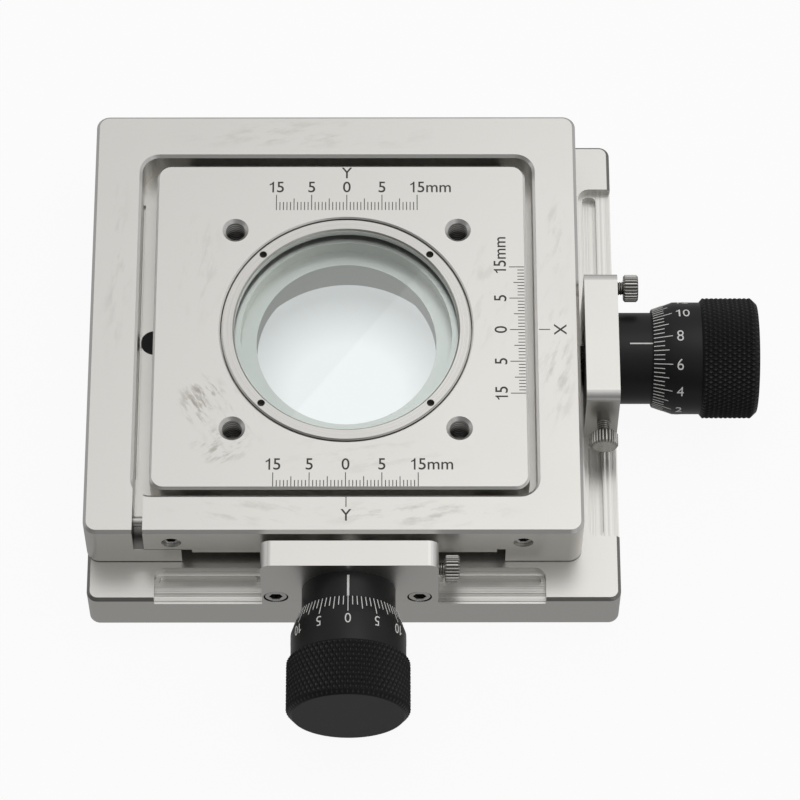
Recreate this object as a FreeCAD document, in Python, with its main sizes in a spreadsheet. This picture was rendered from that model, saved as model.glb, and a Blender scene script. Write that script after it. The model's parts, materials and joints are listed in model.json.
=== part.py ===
import FreeCAD, Part
import os
import Sketcher

# Mechanical XY stage: a base with two upright lugs, a frame that slides along X on it and a
# centre plate with a glazed aperture that slides along Y in the frame. Two micrometer heads
# push the slides. Millimetres; the origin is on the aperture axis at the base's underside.

doc = FreeCAD.newDocument("XYStage")
sheet = doc.addObject("Spreadsheet::Sheet", "Sizes")


class Term:
    """A length with its present value and the sheet expression that gives it."""

    def __init__(self, value, text):
        self.value = value
        self.text = text

    def __add__(self, other):
        other = term(other)
        return Term(self.value + other.value, f"({self.text} + {other.text})")

    def __radd__(self, other):
        return term(other) + self

    def __sub__(self, other):
        other = term(other)
        return Term(self.value - other.value, f"({self.text} - {other.text})")

    def __rsub__(self, other):
        return term(other) - self

    def __mul__(self, other):
        other = term(other)
        return Term(self.value * other.value, f"({self.text} * {other.text})")

    def __rmul__(self, other):
        return term(other) * self

    def __truediv__(self, other):
        other = term(other)
        return Term(self.value / other.value, f"({self.text} / {other.text})")

    def __neg__(self):
        return Term(-self.value, f"(-{self.text})")


def term(thing):
    return thing if isinstance(thing, Term) else Term(float(thing), repr(float(thing)))


def size(alias, value, note):
    row = len(sheet.getUsedCells()) // 2 + 1
    sheet.set(f"A{row}", note)
    sheet.set(f"B{row}", str(value))
    sheet.setAlias(f"B{row}", alias)
    return Term(float(value), f"Sizes.{alias}")


def bind(thing, path, amount):
    thing.setExpression(path, term(amount).text)


# Base plate and its lugs.
base_left = size("base_left", 54.2, "aperture axis to the base's left side")
base_right = size("base_right", 57.6, "aperture axis to the base's right side")
base_front = size("base_front", 56.74, "aperture axis to the base's front")
base_back = size("base_back", 52.94, "aperture axis to the base's back")
base_thick = size("base_thick", 11.5, "base plate thickness")
base_corner = size("base_corner", 2.3, "base corner radius in plan")
base_bore = size("base_bore", 24.0, "radius of the light bore through the base")
plate_bevel = size("plate_bevel", 0.67, "bevel on the top edges of base and frame")
lug_height = size("lug_height", 17.3, "lug height above the base plate")
lug_corner = size("lug_corner", 2.2, "rounding of the lugs' top corners")
front_lug_left = size("front_lug_left", 17.5, "aperture axis to the front lug's left flank")
front_lug_right = size("front_lug_right", 19.3, "aperture axis to the front lug's right flank")
front_lug_depth = size("front_lug_depth", 5.64, "front lug thickness along Y")
side_lug_front = size("side_lug_front", 18.0, "aperture axis to the side lug's front flank")
side_lug_back = size("side_lug_back", 12.1, "aperture axis to the side lug's rear flank")
side_lug_depth = size("side_lug_depth", 7.05, "side lug thickness along X")
relief_reach = size("relief_reach", 22.6, "length of the front reliefs beside the front lug")
relief_width = size("relief_width", 7.44, "front relief, base front to its back wall")
relief_shelf = size("relief_shelf", 1.9, "depth of the reliefs' outer shelf")
relief_trough = size("relief_trough", 3.6, "depth of the reliefs' inner trough")
relief_step = size("relief_step", 3.4, "width of the front reliefs' inner trough")
relief_corner = size("relief_corner", 2.4, "plan corner radius of the reliefs")
side_relief_end = size("side_relief_end", 42.0, "aperture axis to either end of the side relief")
side_trough_width = size("side_trough_width", 3.9, "width of the side reliefs' inner trough")
base_bolt_x = size("base_bolt_x", 36.0, "half spacing of the base's tapped holes along X")
base_bolt_y = size("base_bolt_y", 22.0, "half spacing of the base's tapped holes along Y")
base_bolt_radius = size("base_bolt_radius", 1.65, "tapping radius of the base's M4 holes")
base_bolt_depth = size("base_bolt_depth", 8.0, "depth of the base's M4 holes")

# Frame, the X slide.
slide_gap = size("slide_gap", 0.3, "gap between faces that slide past each other")
frame_left = size("frame_left", 54.4, "aperture axis to the frame's left side")
frame_right = size("frame_right", 49.53, "aperture axis to the frame's right side")
frame_front = size("frame_front", 47.86, "aperture axis to the frame's front")
frame_back = size("frame_back", 52.29, "aperture axis to the frame's back")
frame_thick = size("frame_thick", 14.0, "frame thickness")
frame_corner = size("frame_corner", 2.8, "frame corner radius in plan")
pocket_left = size("pocket_left", 44.2, "aperture axis to the pocket's left wall")
pocket_right = size("pocket_right", 40.0, "aperture axis to the pocket's right wall")
pocket_front = size("pocket_front", 39.1, "aperture axis to the pocket's front wall")
pocket_back = size("pocket_back", 42.0, "aperture axis to the pocket's rear wall")
pocket_depth = size("pocket_depth", 8.3, "depth of the pocket to the ledges")
pocket_corner = size("pocket_corner", 3.7, "pocket corner radius")
pocket_bevel = size("pocket_bevel", 0.6, "bevel around the pocket's mouth")
channel_left = size("channel_left", 34.3, "aperture axis to the guide channel's left wall")
channel_right = size("channel_right", 33.4, "aperture axis to the guide channel's right wall")
channel_end = size("channel_end", 44.0, "aperture axis to the guide channel's rear end")
foot_groove = size("foot_groove", 0.45, "width of the groove along the pocket's left wall")
slit_width = size("slit_width", 2.2, "width of the slit beside the front bar")
seam_height = size("seam_height", 0.2, "height of the saw cut under the front bar's left end")
stop_left = size("stop_left", 36.2, "aperture axis to the left stop screw")
stop_right = size("stop_right", 37.0, "aperture axis to the right stop screw")
stop_drop = size("stop_drop", 5.0, "stop screw axis below the frame's top")
stop_radius = size("stop_radius", 2.0, "stop screw radius, M4")
ledge_screw_x = size("ledge_screw_x", 41.15, "aperture axis to the ledge screw along X")
ledge_screw_y = size("ledge_screw_y", 0.8, "aperture axis to the ledge screw along Y")
ledge_screw_radius = size("ledge_screw_radius", 2.8, "ledge screw head radius")
ledge_screw_depth = size("ledge_screw_depth", 1.6, "depth of the ledge screw's counterbore")
clamp_drop = size("clamp_drop", 4.5, "slit clamp screw axis below the frame's top")
clamp_radius = size("clamp_radius", 1.05, "slit clamp screw radius")
clamp_front = size("clamp_front", 43.2, "aperture axis to the slit clamp screw along Y")

# Centre plate, the Y slide.
plate_left = size("plate_left", 40.92, "aperture axis to the centre plate's left edge")
plate_right = size("plate_right", 38.45, "aperture axis to the centre plate's right edge")
plate_front = size("plate_front", 37.78, "aperture axis to the centre plate's front edge")
plate_back = size("plate_back", 39.91, "aperture axis to the centre plate's rear edge")
plate_corner = size("plate_corner", 3.0, "centre plate corner radius")
plate_edge = size("plate_edge", 0.5, "bevel around the centre plate's top")
bolt_x = size("bolt_x", 23.84, "half spacing of the M5 holes along X")
bolt_y = size("bolt_y", 23.76, "half spacing of the M5 holes along Y")
bolt_radius = size("bolt_radius", 2.1, "tapping radius of the M5 holes")
bolt_mouth = size("bolt_mouth", 0.7, "bevel at the M5 holes' mouths")
seat_radius = size("seat_radius", 26.75, "radius of the ring's seat in the centre plate")
seat_clear = size("seat_clear", 0.25, "radial gap around ring and glass")
ring_width = size("ring_width", 2.65, "retaining ring width")
ring_thick = size("ring_thick", 2.2, "retaining ring thickness")
ring_bevel = size("ring_bevel", 0.3, "bevel on the ring's top edges")
notch_radius = size("notch_radius", 0.8, "radius of the ring's four spanner holes")
notch_depth = size("notch_depth", 1.6, "depth of the spanner holes")
glass_thick = size("glass_thick", 2.0, "glass thickness")
glass_rest = size("glass_rest", 4.0, "width of the ledge that carries the glass's rim")
throat_radius = size("throat_radius", 19.2, "radius of the bore through the slide block")

# Slide block and its dovetail rails.
block_foot = size("block_foot", 0.3, "slide block's underside above the frame's underside")
dovetail_half = size("dovetail_half", 27.0, "half width of the dovetail at its neck")
dovetail_flare = size("dovetail_flare", 2.6, "how far the dovetail widens on each side")
dovetail_neck = size("dovetail_neck", 1.2, "straight neck above the dovetail")
tongue_left = size("tongue_left", 32.1, "aperture axis to the tongue's left end")
tongue_right = size("tongue_right", 31.6, "aperture axis to the tongue's right end")
tongue_front = size("tongue_front", 47.0, "aperture axis to the tongue's front face")
tongue_back = size("tongue_back", 40.4, "aperture axis to where the tongue narrows")
tongue_low = size("tongue_low", 2.5, "tongue underside above the frame's underside")
tongue_thick = size("tongue_thick", 2.3, "tongue thickness")
rail_length = size("rail_length", 76.0, "length of the guide rails, centred on the aperture")
rail_flange = size("rail_flange", 3.7, "width of the rails' screwed flange")
rail_flange_thick = size("rail_flange_thick", 2.5, "thickness of the rails' flange")
rail_screw_pitch = size("rail_screw_pitch", 30.0, "spacing of the rail screws")
rail_head = size("rail_head", 1.5, "head radius of the M1.6 rail screws")
rail_shank = size("rail_shank", 0.8, "shank radius of the M1.6 rail screws")
block_screw_x = size("block_screw_x", 23.5, "half spacing of the block screws along X")
block_screw_y = size("block_screw_y", 32.0, "half spacing of the block screws along Y")
pad_left = size("pad_left", 2.4, "aperture axis to the push pad's left end")
pad_right = size("pad_right", 9.0, "aperture axis to the push pad's right end")
pad_front = size("pad_front", 49.7, "aperture axis to the push pad's face")

# Guide keys under the frame, in the base's dovetail grooves.
key_front = size("key_front", 34.0, "aperture axis to the front keys' centre line")
key_rear = size("key_rear", 45.5, "aperture axis to the rear key's centre line")
key_half = size("key_half", 3.1, "half width of a key at the base's top")
key_depth = size("key_depth", 3.1, "how deep the keys reach into the base")
key_flare = size("key_flare", 1.8, "how far a key widens on each side")
key_left = size("key_left", 46.0, "aperture axis to the keys' left end")
key_right = size("key_right", 47.0, "aperture axis to the keys' right end")
key_travel = size("key_travel", 1.3, "room beyond the keys' right end")

# Micrometer heads.
head_height = size("head_height", 16.35, "micrometer axes above the base's underside")
x_head_y = size("x_head_y", -2.4, "X micrometer axis from the aperture axis along Y")
y_head_x = size("y_head_x", 0.66, "Y micrometer axis from the aperture axis along X")
stem_radius = size("stem_radius", 6.0, "micrometer stem radius in its lug")
sleeve_radius = size("sleeve_radius", 9.75, "sleeve radius")
spindle_radius = size("spindle_radius", 3.0, "spindle radius")
shaft_clear = size("shaft_clear", 0.06, "radial running clearance of the turned fits")
x_reading = size("x_reading", 7.36, "sleeve length bare beside the side lug")
y_reading = size("y_reading", 5.76, "sleeve length bare before the front lug")
sleeve_hidden = size("sleeve_hidden", 4.5, "sleeve length inside the thimble")
thimble_depth = size("thimble_depth", 11.0, "depth of the thimble's skirt bore")
thimble_edge = size("thimble_edge", 10.4, "thimble radius at its graduated edge")
thimble_cone = size("thimble_cone", 4.5, "length of the graduated cone")
thimble_radius = size("thimble_radius", 11.95, "thimble barrel radius")
knurl_start = size("knurl_start", 11.0, "thimble edge to the knurl")
knurl_end = size("knurl_end", 21.15, "thimble edge to the knurl's far end")
knurl_radius = size("knurl_radius", 12.85, "radius over the knurl")
thimble_length = size("thimble_length", 22.45, "thimble length")
thimble_face = size("thimble_face", 11.6, "radius of the thimble's end face")
spindle_grip = size("spindle_grip", 8.0, "length of the spindle inside the thimble")
tip_gap = size("tip_gap", 0.15, "gap between a spindle and what it pushes")
tip_length = size("tip_length", 1.0, "length of the spindle's bevelled tip")

# Screws.
cap_left = size("cap_left", 14.53, "aperture axis to the left cap screw")
cap_right = size("cap_right", 15.42, "aperture axis to the right cap screw")
cap_height = size("cap_height", 13.1, "cap screws above the base's underside")
cap_head = size("cap_head", 2.35, "cap screw head radius")
cap_shank = size("cap_shank", 1.5, "cap screw shank radius, M3")
cap_sunk = size("cap_sunk", 3.2, "depth of the cap screws' counterbores")
cap_clear = size("cap_clear", 0.25, "gap around the cap screw heads")
keeper_thick = size("keeper_thick", 1.5, "keeper plate thickness")
keeper_bridge = size("keeper_bridge", 1.65, "keeper plate above its window")
keeper_margin = size("keeper_margin", 3.0, "keeper plate past its screws")
keeper_window = size("keeper_window", 10.2, "half width of the keeper plate's window")
small_shank = size("small_shank", 1.25, "radius of the M2.5 screws")
small_head = size("small_head", 2.1, "head radius of the M2.5 screws")
small_head_high = size("small_head_high", 1.4, "head height of the M2.5 screws")
thread_clear = size("thread_clear", 0.05, "gap around a screw in its thread")
lock_shank = size("lock_shank", 1.45, "shank radius of the knurled lock screws")
lock_head = size("lock_head", 2.92, "head radius of the knurled lock screws")
lock_head_long = size("lock_head_long", 3.1, "head length of the knurled lock screws")
lock_bevel = size("lock_bevel", 0.35, "bevel on the knurled heads")
y_lock_y = size("y_lock_y", 53.0, "aperture axis to the Y lock screw along Y")
y_lock_height = size("y_lock_height", 18.9, "Y lock screw above the base's underside")
y_lock_out = size("y_lock_out", 1.3, "bare shank of the Y lock screw")
x_lock_x = size("x_lock_x", 54.6, "aperture axis to the X lock screw along X")
x_lock_height = size("x_lock_height", 16.8, "X lock screw above the base's underside")
x_lock_out = size("x_lock_out", 2.6, "bare shank of the X lock screw")
clamp_lock_y = size("clamp_lock_y", 10.0, "aperture axis to the slide lock screw along Y")
clamp_lock_height = size("clamp_lock_height", 24.8, "slide lock screw above the underside")
clamp_lock_out = size("clamp_lock_out", 1.4, "bare shank of the slide lock screw")
button_radius = size("button_radius", 2.4, "radius of the frame's contact button")
button_depth = size("button_depth", 3.0, "depth of the frame's contact button")

# Levels and places that follow from the sizes.
frame_floor = base_thick + slide_gap
frame_top = frame_floor + frame_thick
ledge = frame_top - pocket_depth
plate_floor = ledge + slide_gap
plate_thick = frame_top - plate_floor
lug_top = base_thick + lug_height
front_lug_face = base_front - front_lug_depth
side_lug_face = base_right - side_lug_depth
sink = 3 * plate_bevel


def plane_of(body, role):
    return [item for item in body.Origin.OriginFeatures if item.Role == role][0]


def sketch_on(body, role, away, label):
    sketch = body.newObject("Sketcher::SketchObject", label)
    sketch.AttachmentSupport = [(plane_of(body, role), "")]
    sketch.MapMode = "FlatFace"
    bind(sketch, "AttachmentOffset.Base.z", away)
    return sketch


def place_point(sketch, index, which, across, up):
    for kind, amount in (("DistanceX", across), ("DistanceY", up)):
        amount = term(amount)
        link = Sketcher.Constraint(kind, -1, 1, index, which, amount.value)
        at = sketch.addConstraint(link)
        sketch.setExpression(f"Constraints[{at}]", amount.text)


def outline(body, role, away, points, label):
    """A closed outline of straight edges, every corner placed from the sizes."""
    sketch = sketch_on(body, role, away, label)
    spots = [FreeCAD.Vector(term(a).value, term(b).value, 0) for a, b in points]
    count = len(spots)
    for index in range(count):
        line = Part.LineSegment(spots[index], spots[(index + 1) % count])
        sketch.addGeometry(line, False)
    for index in range(count):
        joined = Sketcher.Constraint("Coincident", index, 2, (index + 1) % count, 1)
        sketch.addConstraint(joined)
    for index, (a, b) in enumerate(points):
        place_point(sketch, index, 1, a, b)
    return sketch


def rectangle(low_a, high_a, low_b, high_b):
    return [(low_a, low_b), (high_a, low_b), (high_a, high_b), (low_a, high_b)]


def circles(body, role, away, centres, radius, label):
    sketch = sketch_on(body, role, away, label)
    for index, (a, b) in enumerate(centres):
        middle = FreeCAD.Vector(term(a).value, term(b).value, 0)
        ring = Part.Circle(middle, FreeCAD.Vector(0, 0, 1), term(radius).value)
        sketch.addGeometry(ring, False)
        place_point(sketch, index, 3, a, b)
        round_ = Sketcher.Constraint("Radius", index, term(radius).value)
        at = sketch.addConstraint(round_)
        sketch.setExpression(f"Constraints[{at}]", term(radius).text)
    return sketch


def volume(body):
    doc.recompute()
    if not body.Shape.Solids:
        raise RuntimeError(f"{body.Label}: {body.Tip.Label} leaves no solid")
    return body.Shape.Volume


def add(body, sketch, length, reverse=False):
    """Pads a sketch along its normal, or against it, and checks that material is added."""
    before = volume(body) if body.Tip else 0.0
    pad = body.newObject("PartDesign::Pad", "Pad")
    pad.Profile = sketch
    bind(pad, "Length", length)
    pad.Reversed = reverse
    if volume(body) <= before:
        raise RuntimeError(f"{body.Label}: {sketch.Label} adds nothing")
    return pad


def cut(body, sketch, length, reverse=False):
    """Cuts against the sketch's normal, or along it, and checks that material is removed."""
    before = volume(body)
    pocket = body.newObject("PartDesign::Pocket", "Pocket")
    pocket.Profile = sketch
    bind(pocket, "Length", length)
    pocket.Reversed = reverse
    if volume(body) >= before:
        raise RuntimeError(f"{body.Label}: {sketch.Label} cuts nothing")
    return pocket


def edges_where(shape, test):
    names = []
    for index, edge in enumerate(shape.Edges):
        if test(edge):
            names.append(f"Edge{index + 1}")
    return names


def soften(body, kind, amount, test):
    """Rounds or bevels the edges of the body's last feature that pass the test."""
    doc.recompute()
    last = body.Tip
    names = edges_where(last.Shape, test)
    if not names:
        raise RuntimeError(f"{body.Label}: no edge to soften")
    feature = body.newObject("PartDesign::" + kind, kind)
    feature.Base = (last, names)
    bind(feature, "Radius" if kind == "Fillet" else "Size", amount)
    volume(body)
    if not body.Shape.isValid():
        raise RuntimeError(f"{body.Label}: {feature.Label} leaves no valid solid")
    return feature


def near(a, b):
    return abs(term(a).value - term(b).value) < 1e-4


def runs_along(axis):
    def test(edge):
        if edge.Curve.TypeId != "Part::GeomLine":
            return False
        first, last = edge.Vertexes[0].Point, edge.Vertexes[-1].Point
        step = last - first
        return abs(getattr(step, axis)) > 0.999 * step.Length
    return test


def upright_at(spots):
    """Upright straight edges that stand on one of the plan positions."""
    def test(edge):
        if not runs_along("z")(edge):
            return False
        point = edge.Vertexes[0].Point
        return any(near(point.x, a) and near(point.y, b) for a, b in spots)
    return test


def in_level(height):
    def test(edge):
        return all(near(vertex.Point.z, height) for vertex in edge.Vertexes)
    return test


def plate(label, left, right, front, back, floor, thick, corner, bevel):
    """A plate with rounded upright corners and a bevelled top edge."""
    body = doc.addObject("PartDesign::Body", label)
    body.Label = label
    shape = rectangle(-left, right, -front, back)
    add(body, outline(body, "XY_Plane", floor, shape, label + "_plan"), thick)
    corners = [(-left, -front), (right, -front), (right, back), (-left, back)]
    soften(body, "Fillet", corner, upright_at(corners))
    soften(body, "Chamfer", bevel, in_level(floor + thick))
    return body


def turned(label, points, corner, outward):
    """A turned piece: its profile runs outward from the mounting face, beside the axis."""
    body = doc.addObject("PartDesign::Body", label)
    body.Label = label
    turn = {"x": 0.0, "-y": -90.0, "y": 90.0}[outward]
    spin = FreeCAD.Rotation(FreeCAD.Vector(0, 0, 1), turn)
    body.Placement = FreeCAD.Placement(FreeCAD.Vector(), spin)
    for axis, amount in zip("xyz", corner):
        bind(body, "Placement.Base." + axis, amount)
    sketch = outline(body, "XY_Plane", 0, points, label + "_profile")
    revolution = body.newObject("PartDesign::Revolution", "Revolution")
    revolution.Profile = sketch
    revolution.ReferenceAxis = (sketch, ["H_Axis"])
    revolution.Angle = 360.0
    doc.recompute()
    return body


def block(label, x, y, z):
    piece = doc.addObject("Part::Box", label)
    for axis, extent, (low, high) in zip("xyz", ("Length", "Width", "Height"), (x, y, z)):
        bind(piece, "Placement.Base." + axis, low)
        bind(piece, extent, term(high) - low)
    return piece


def rod(label, axis, radius, across, start, end):
    """A cylinder along an axis; across holds its two other coordinates in XYZ order."""
    turn = {
        "x": FreeCAD.Rotation(FreeCAD.Vector(0, 1, 0), 90),
        "y": FreeCAD.Rotation(FreeCAD.Vector(1, 0, 0), -90),
        "z": FreeCAD.Rotation(),
    }[axis]
    piece = doc.addObject("Part::Cylinder", label)
    piece.Placement = FreeCAD.Placement(FreeCAD.Vector(), turn)
    spot = dict(zip([name for name in "xyz" if name != axis], across))
    spot[axis] = start
    for name in "xyz":
        bind(piece, "Placement.Base." + name, spot[name])
    bind(piece, "Radius", radius)
    bind(piece, "Height", term(end) - start)
    return piece


def union(label, pieces):
    whole = doc.addObject("Part::MultiFuse", label)
    whole.Shapes = pieces
    return whole


def without(label, stock, tools):
    tool = tools[0] if len(tools) == 1 else union(label + "_tools", tools)
    rest = doc.addObject("Part::Cut", label)
    rest.Base = stock
    rest.Tool = tool
    return rest


def group(label, pieces):
    whole = doc.addObject("Part::Compound", label)
    whole.Links = pieces
    return whole


kept = []


def keep(piece, label):
    piece.Label = label
    kept.append((label, piece))
    return piece


# Base plate: its lugs rise from the front and the right side, flush with the plate's faces.
base = plate(
    "base_plate", base_left, base_right, base_front, base_back, 0, base_thick, base_corner,
    plate_bevel,
)
lug_shape = rectangle(-front_lug_left, front_lug_right, base_thick - sink, lug_top)
add(base, outline(base, "XZ_Plane", base_front, lug_shape, "front_lug"), front_lug_depth, True)
lug_shape = rectangle(-side_lug_front, side_lug_back, base_thick - sink, lug_top)
add(base, outline(base, "YZ_Plane", side_lug_face, lug_shape, "side_lug"), side_lug_depth)


def lug_shoulder(edge):
    along_y = runs_along("y")(edge)
    along_x = runs_along("x")(edge)
    point = edge.Vertexes[0].Point
    if not near(point.z, lug_top):
        return False
    on_front = near(point.x, -front_lug_left) or near(point.x, front_lug_right)
    on_side = near(point.y, -side_lug_front) or near(point.y, side_lug_back)
    return (along_y and on_front) or (along_x and on_side)


soften(base, "Fillet", lug_corner, lug_shoulder)

# Milled reliefs beside the lugs: a shelf open to the outside and a deeper trough behind it.
beyond = 5 * plate_bevel
shelf_level = base_thick - relief_shelf
relief_wall = relief_width - base_front
trough_front = relief_wall - relief_step
lug_relief_corner = (relief_width - front_lug_depth) * 0.8
front_reliefs = [
    (-front_lug_left - relief_reach, -front_lug_left),
    (front_lug_right, front_lug_right + relief_reach),
]
for number, (low, high) in enumerate(front_reliefs):
    shape = rectangle(low, high, -base_front - beyond, relief_wall)
    plan = outline(base, "XY_Plane", base_thick, shape, f"front_shelf_{number}")
    cut(base, plan, relief_shelf)
    outer, inner = (low, high) if number == 0 else (high, low)
    soften(base, "Fillet", relief_corner, upright_at([(outer, relief_wall)]))
    soften(base, "Fillet", lug_relief_corner, upright_at([(inner, relief_wall)]))
    inset = relief_corner * 0.4
    low_in, high_in = low + inset, high - inset
    shape = rectangle(low_in, high_in, trough_front, relief_wall - inset)
    plan = outline(base, "XY_Plane", shelf_level, shape, f"front_trough_{number}")
    cut(base, plan, relief_trough - relief_shelf)
    spots = [
        (low_in, relief_wall - inset), (high_in, relief_wall - inset),
        (low_in, trough_front), (high_in, trough_front),
    ]
    soften(base, "Fillet", relief_corner / 2, upright_at(spots))

side_wall = side_lug_face
side_reliefs = [
    (-side_relief_end, -side_lug_front),
    (side_lug_back, side_relief_end),
]
for number, (low, high) in enumerate(side_reliefs):
    shape = rectangle(side_wall, base_right + beyond, low, high)
    plan = outline(base, "XY_Plane", base_thick, shape, f"side_shelf_{number}")
    cut(base, plan, relief_shelf)
    outer = low if number == 0 else high
    soften(base, "Fillet", relief_corner, upright_at([(side_wall, outer)]))
    inset = relief_corner * 0.4
    trough_side = side_wall + side_trough_width
    low_in, high_in = low + inset, high - inset
    shape = rectangle(side_wall + inset, trough_side, low_in, high_in)
    plan = outline(base, "XY_Plane", shelf_level, shape, f"side_trough_{number}")
    cut(base, plan, relief_trough - relief_shelf)
    spots = [
        (side_wall + inset, low_in), (side_wall + inset, high_in),
        (trough_side, low_in), (trough_side, high_in),
    ]
    soften(base, "Fillet", relief_corner / 2, upright_at(spots))

cut(base, circles(base, "XY_Plane", base_thick, [(0, 0)], base_bore, "light_bore"), base_thick)

# Dovetail grooves for the guide keys, open at the left side.
groove_end = key_right + key_travel


def dovetail(middle, widen, low, high):
    """Section of a key, or of its groove when widened, in the YZ plane."""
    narrow = key_half + widen
    wide = key_half + key_flare + widen
    return [(middle - wide, low), (middle + wide, low), (middle + narrow, high),
            (middle - narrow, high)]


groove_low = base_thick - key_depth - slide_gap
for label, middle in (("front_groove", -key_front), ("rear_groove", key_rear)):
    shape = dovetail(middle, slide_gap, groove_low, base_thick)
    groove = outline(base, "YZ_Plane", groove_end, shape, label)
    cut(base, groove, groove_end + base_left + beyond)

# Bores for the micrometer stems, the cap screws and the lock screws.
stem_bore = stem_radius + thread_clear
spot = [(y_head_x, head_height)]
plan = circles(base, "XZ_Plane", base_front, spot, stem_bore, "y_stem_bore")
cut(base, plan, front_lug_depth)
spot = [(x_head_y, head_height)]
plan = circles(base, "YZ_Plane", base_right, spot, stem_bore, "x_stem_bore")
cut(base, plan, side_lug_depth)
caps = [(-cap_left, cap_height), (cap_right, cap_height)]
plan = circles(base, "XZ_Plane", base_front, caps, cap_head + cap_clear, "cap_counterbores")
cut(base, plan, cap_sunk)
plan = circles(base, "XZ_Plane", base_front, caps, cap_shank + thread_clear, "cap_holes")
cut(base, plan, front_lug_depth)
lock_hole = lock_shank + thread_clear
spot = [(-y_lock_y, y_lock_height)]
plan = circles(base, "YZ_Plane", front_lug_right, spot, lock_hole, "y_lock_hole")
cut(base, plan, front_lug_right - y_head_x - stem_radius / 2)
spot = [(x_lock_x, x_lock_height)]
plan = circles(base, "XZ_Plane", side_lug_front, spot, lock_hole, "x_lock_hole")
cut(base, plan, side_lug_front + x_head_y - stem_radius / 2)
spot = [(clamp_lock_y, clamp_lock_height)]
plan = circles(base, "YZ_Plane", base_right, spot, lock_hole, "slide_lock_hole")
cut(base, plan, side_lug_depth)
bolts = [(a * base_bolt_x, b * base_bolt_y) for a in (-1, 1) for b in (-1, 1)]
plan = circles(base, "XY_Plane", 0, bolts, base_bolt_radius, "base_bolt_holes")
cut(base, plan, base_bolt_depth, True)
keep(base, "base_plate")

# Frame: a ring-shaped X slide with ledges, a guide channel and a slit front bar.
frame = plate(
    "frame_plate", frame_left, frame_right, frame_front, frame_back, frame_floor, frame_thick,
    frame_corner, plate_bevel,
)
shape = rectangle(-pocket_left, pocket_right, -pocket_front, pocket_back)
cut(frame, outline(frame, "XY_Plane", frame_top, shape, "pocket"), pocket_depth)
corners = [
    (-pocket_left, -pocket_front), (pocket_right, -pocket_front),
    (pocket_right, pocket_back), (-pocket_left, pocket_back),
]
soften(frame, "Fillet", pocket_corner, upright_at(corners))


def pocket_mouth(edge):
    box = edge.BoundBox
    inside = (
        box.XMin > -pocket_left.value - 1e-4 and box.XMax < pocket_right.value + 1e-4
        and box.YMin > -pocket_front.value - 1e-4 and box.YMax < pocket_back.value + 1e-4
    )
    return inside and in_level(frame_top)(edge)


soften(frame, "Chamfer", pocket_bevel, pocket_mouth)
shape = rectangle(-channel_left, channel_right, -frame_front - beyond, channel_end)
channel_high = frame_thick - pocket_depth
cut(frame, outline(frame, "XY_Plane", frame_floor, shape, "channel"), channel_high, True)
rail_half = rail_length / 2
for label, low, high in (
    ("left_rebate", -channel_left - rail_flange, -channel_left),
    ("right_rebate", channel_right, channel_right + rail_flange),
):
    shape = rectangle(low, high, -rail_half, rail_half)
    cut(frame, outline(frame, "XY_Plane", ledge, shape, label), rail_flange_thick)
groove_right = foot_groove - pocket_left
shape = rectangle(
    -pocket_left, groove_right, 2 * pocket_corner - pocket_front, pocket_back - 2 * pocket_corner
)
cut(frame, outline(frame, "XY_Plane", ledge, shape, "foot_groove"), 2 * foot_groove)
slit_right = slit_width - pocket_left
shape = rectangle(-pocket_left, slit_right, -frame_front - beyond, -pocket_front + pocket_corner)
cut(frame, outline(frame, "XY_Plane", frame_top + beyond, shape, "slit"), pocket_depth + beyond)
seam_half = seam_height / 2
shape = rectangle(
    slit_right - seam_height, seam_height - channel_left, ledge - seam_half, ledge + seam_half
)
seam = outline(frame, "XZ_Plane", frame_front + beyond, shape, "saw_cut")
cut(frame, seam, frame_front + beyond - pocket_front)
stop_level = frame_top - stop_drop
stops = [(-stop_left, stop_level), (stop_right, stop_level)]
plan = circles(frame, "XZ_Plane", frame_front, stops, stop_radius + thread_clear, "stop_holes")
cut(frame, plan, frame_front - pocket_front)
spot = [(-ledge_screw_x, ledge_screw_y)]
plan = circles(frame, "XY_Plane", ledge, spot, ledge_screw_radius + thread_clear, "ledge_bore")
cut(frame, plan, ledge_screw_depth)
plan = circles(frame, "XY_Plane", ledge, spot, small_shank + thread_clear, "ledge_hole")
cut(frame, plan, channel_high - slide_gap)
clamp_level = frame_top - clamp_drop
clamp_end = slit_right + 3 * clamp_radius
spot = [(-clamp_front, clamp_level)]
plan = circles(frame, "YZ_Plane", clamp_end, spot, clamp_radius + thread_clear, "clamp_hole")
cut(frame, plan, clamp_end + frame_left)
spot = [(x_head_y, head_height)]
plan = circles(frame, "YZ_Plane", frame_right, spot, button_radius, "button_hole")
cut(frame, plan, button_depth)

rail_screw_left = -channel_left - rail_flange / 2
rail_screw_right = channel_right + rail_flange / 2
rail_screws = []
for across in (rail_screw_left, rail_screw_right):
    for step in (-1, 0, 1):
        rail_screws.append((across, step * rail_screw_pitch))
rail_screw_low = frame_floor + slide_gap
plan = circles(
    frame, "XY_Plane", ledge, rail_screws, rail_shank + thread_clear, "rail_screw_holes"
)
cut(frame, plan, ledge - rail_screw_low)

key_stretches = {
    "front_left": (-key_left, -channel_left - slide_gap, -key_front),
    "front_right": (channel_right + slide_gap, key_right, -key_front),
    "rear": (-key_left, key_right, key_rear),
}
key_screws = []
key_inset = 2 * small_head
for low, high, middle in key_stretches.values():
    key_screws.append((low + key_inset, middle))
    key_screws.append((high - key_inset, middle))
key_screw_high = (frame_thick - pocket_depth) / 2
plan = circles(
    frame, "XY_Plane", frame_floor, key_screws, small_shank + thread_clear, "key_screw_holes"
)
cut(frame, plan, key_screw_high, True)
keep(frame, "frame_plate")

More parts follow.
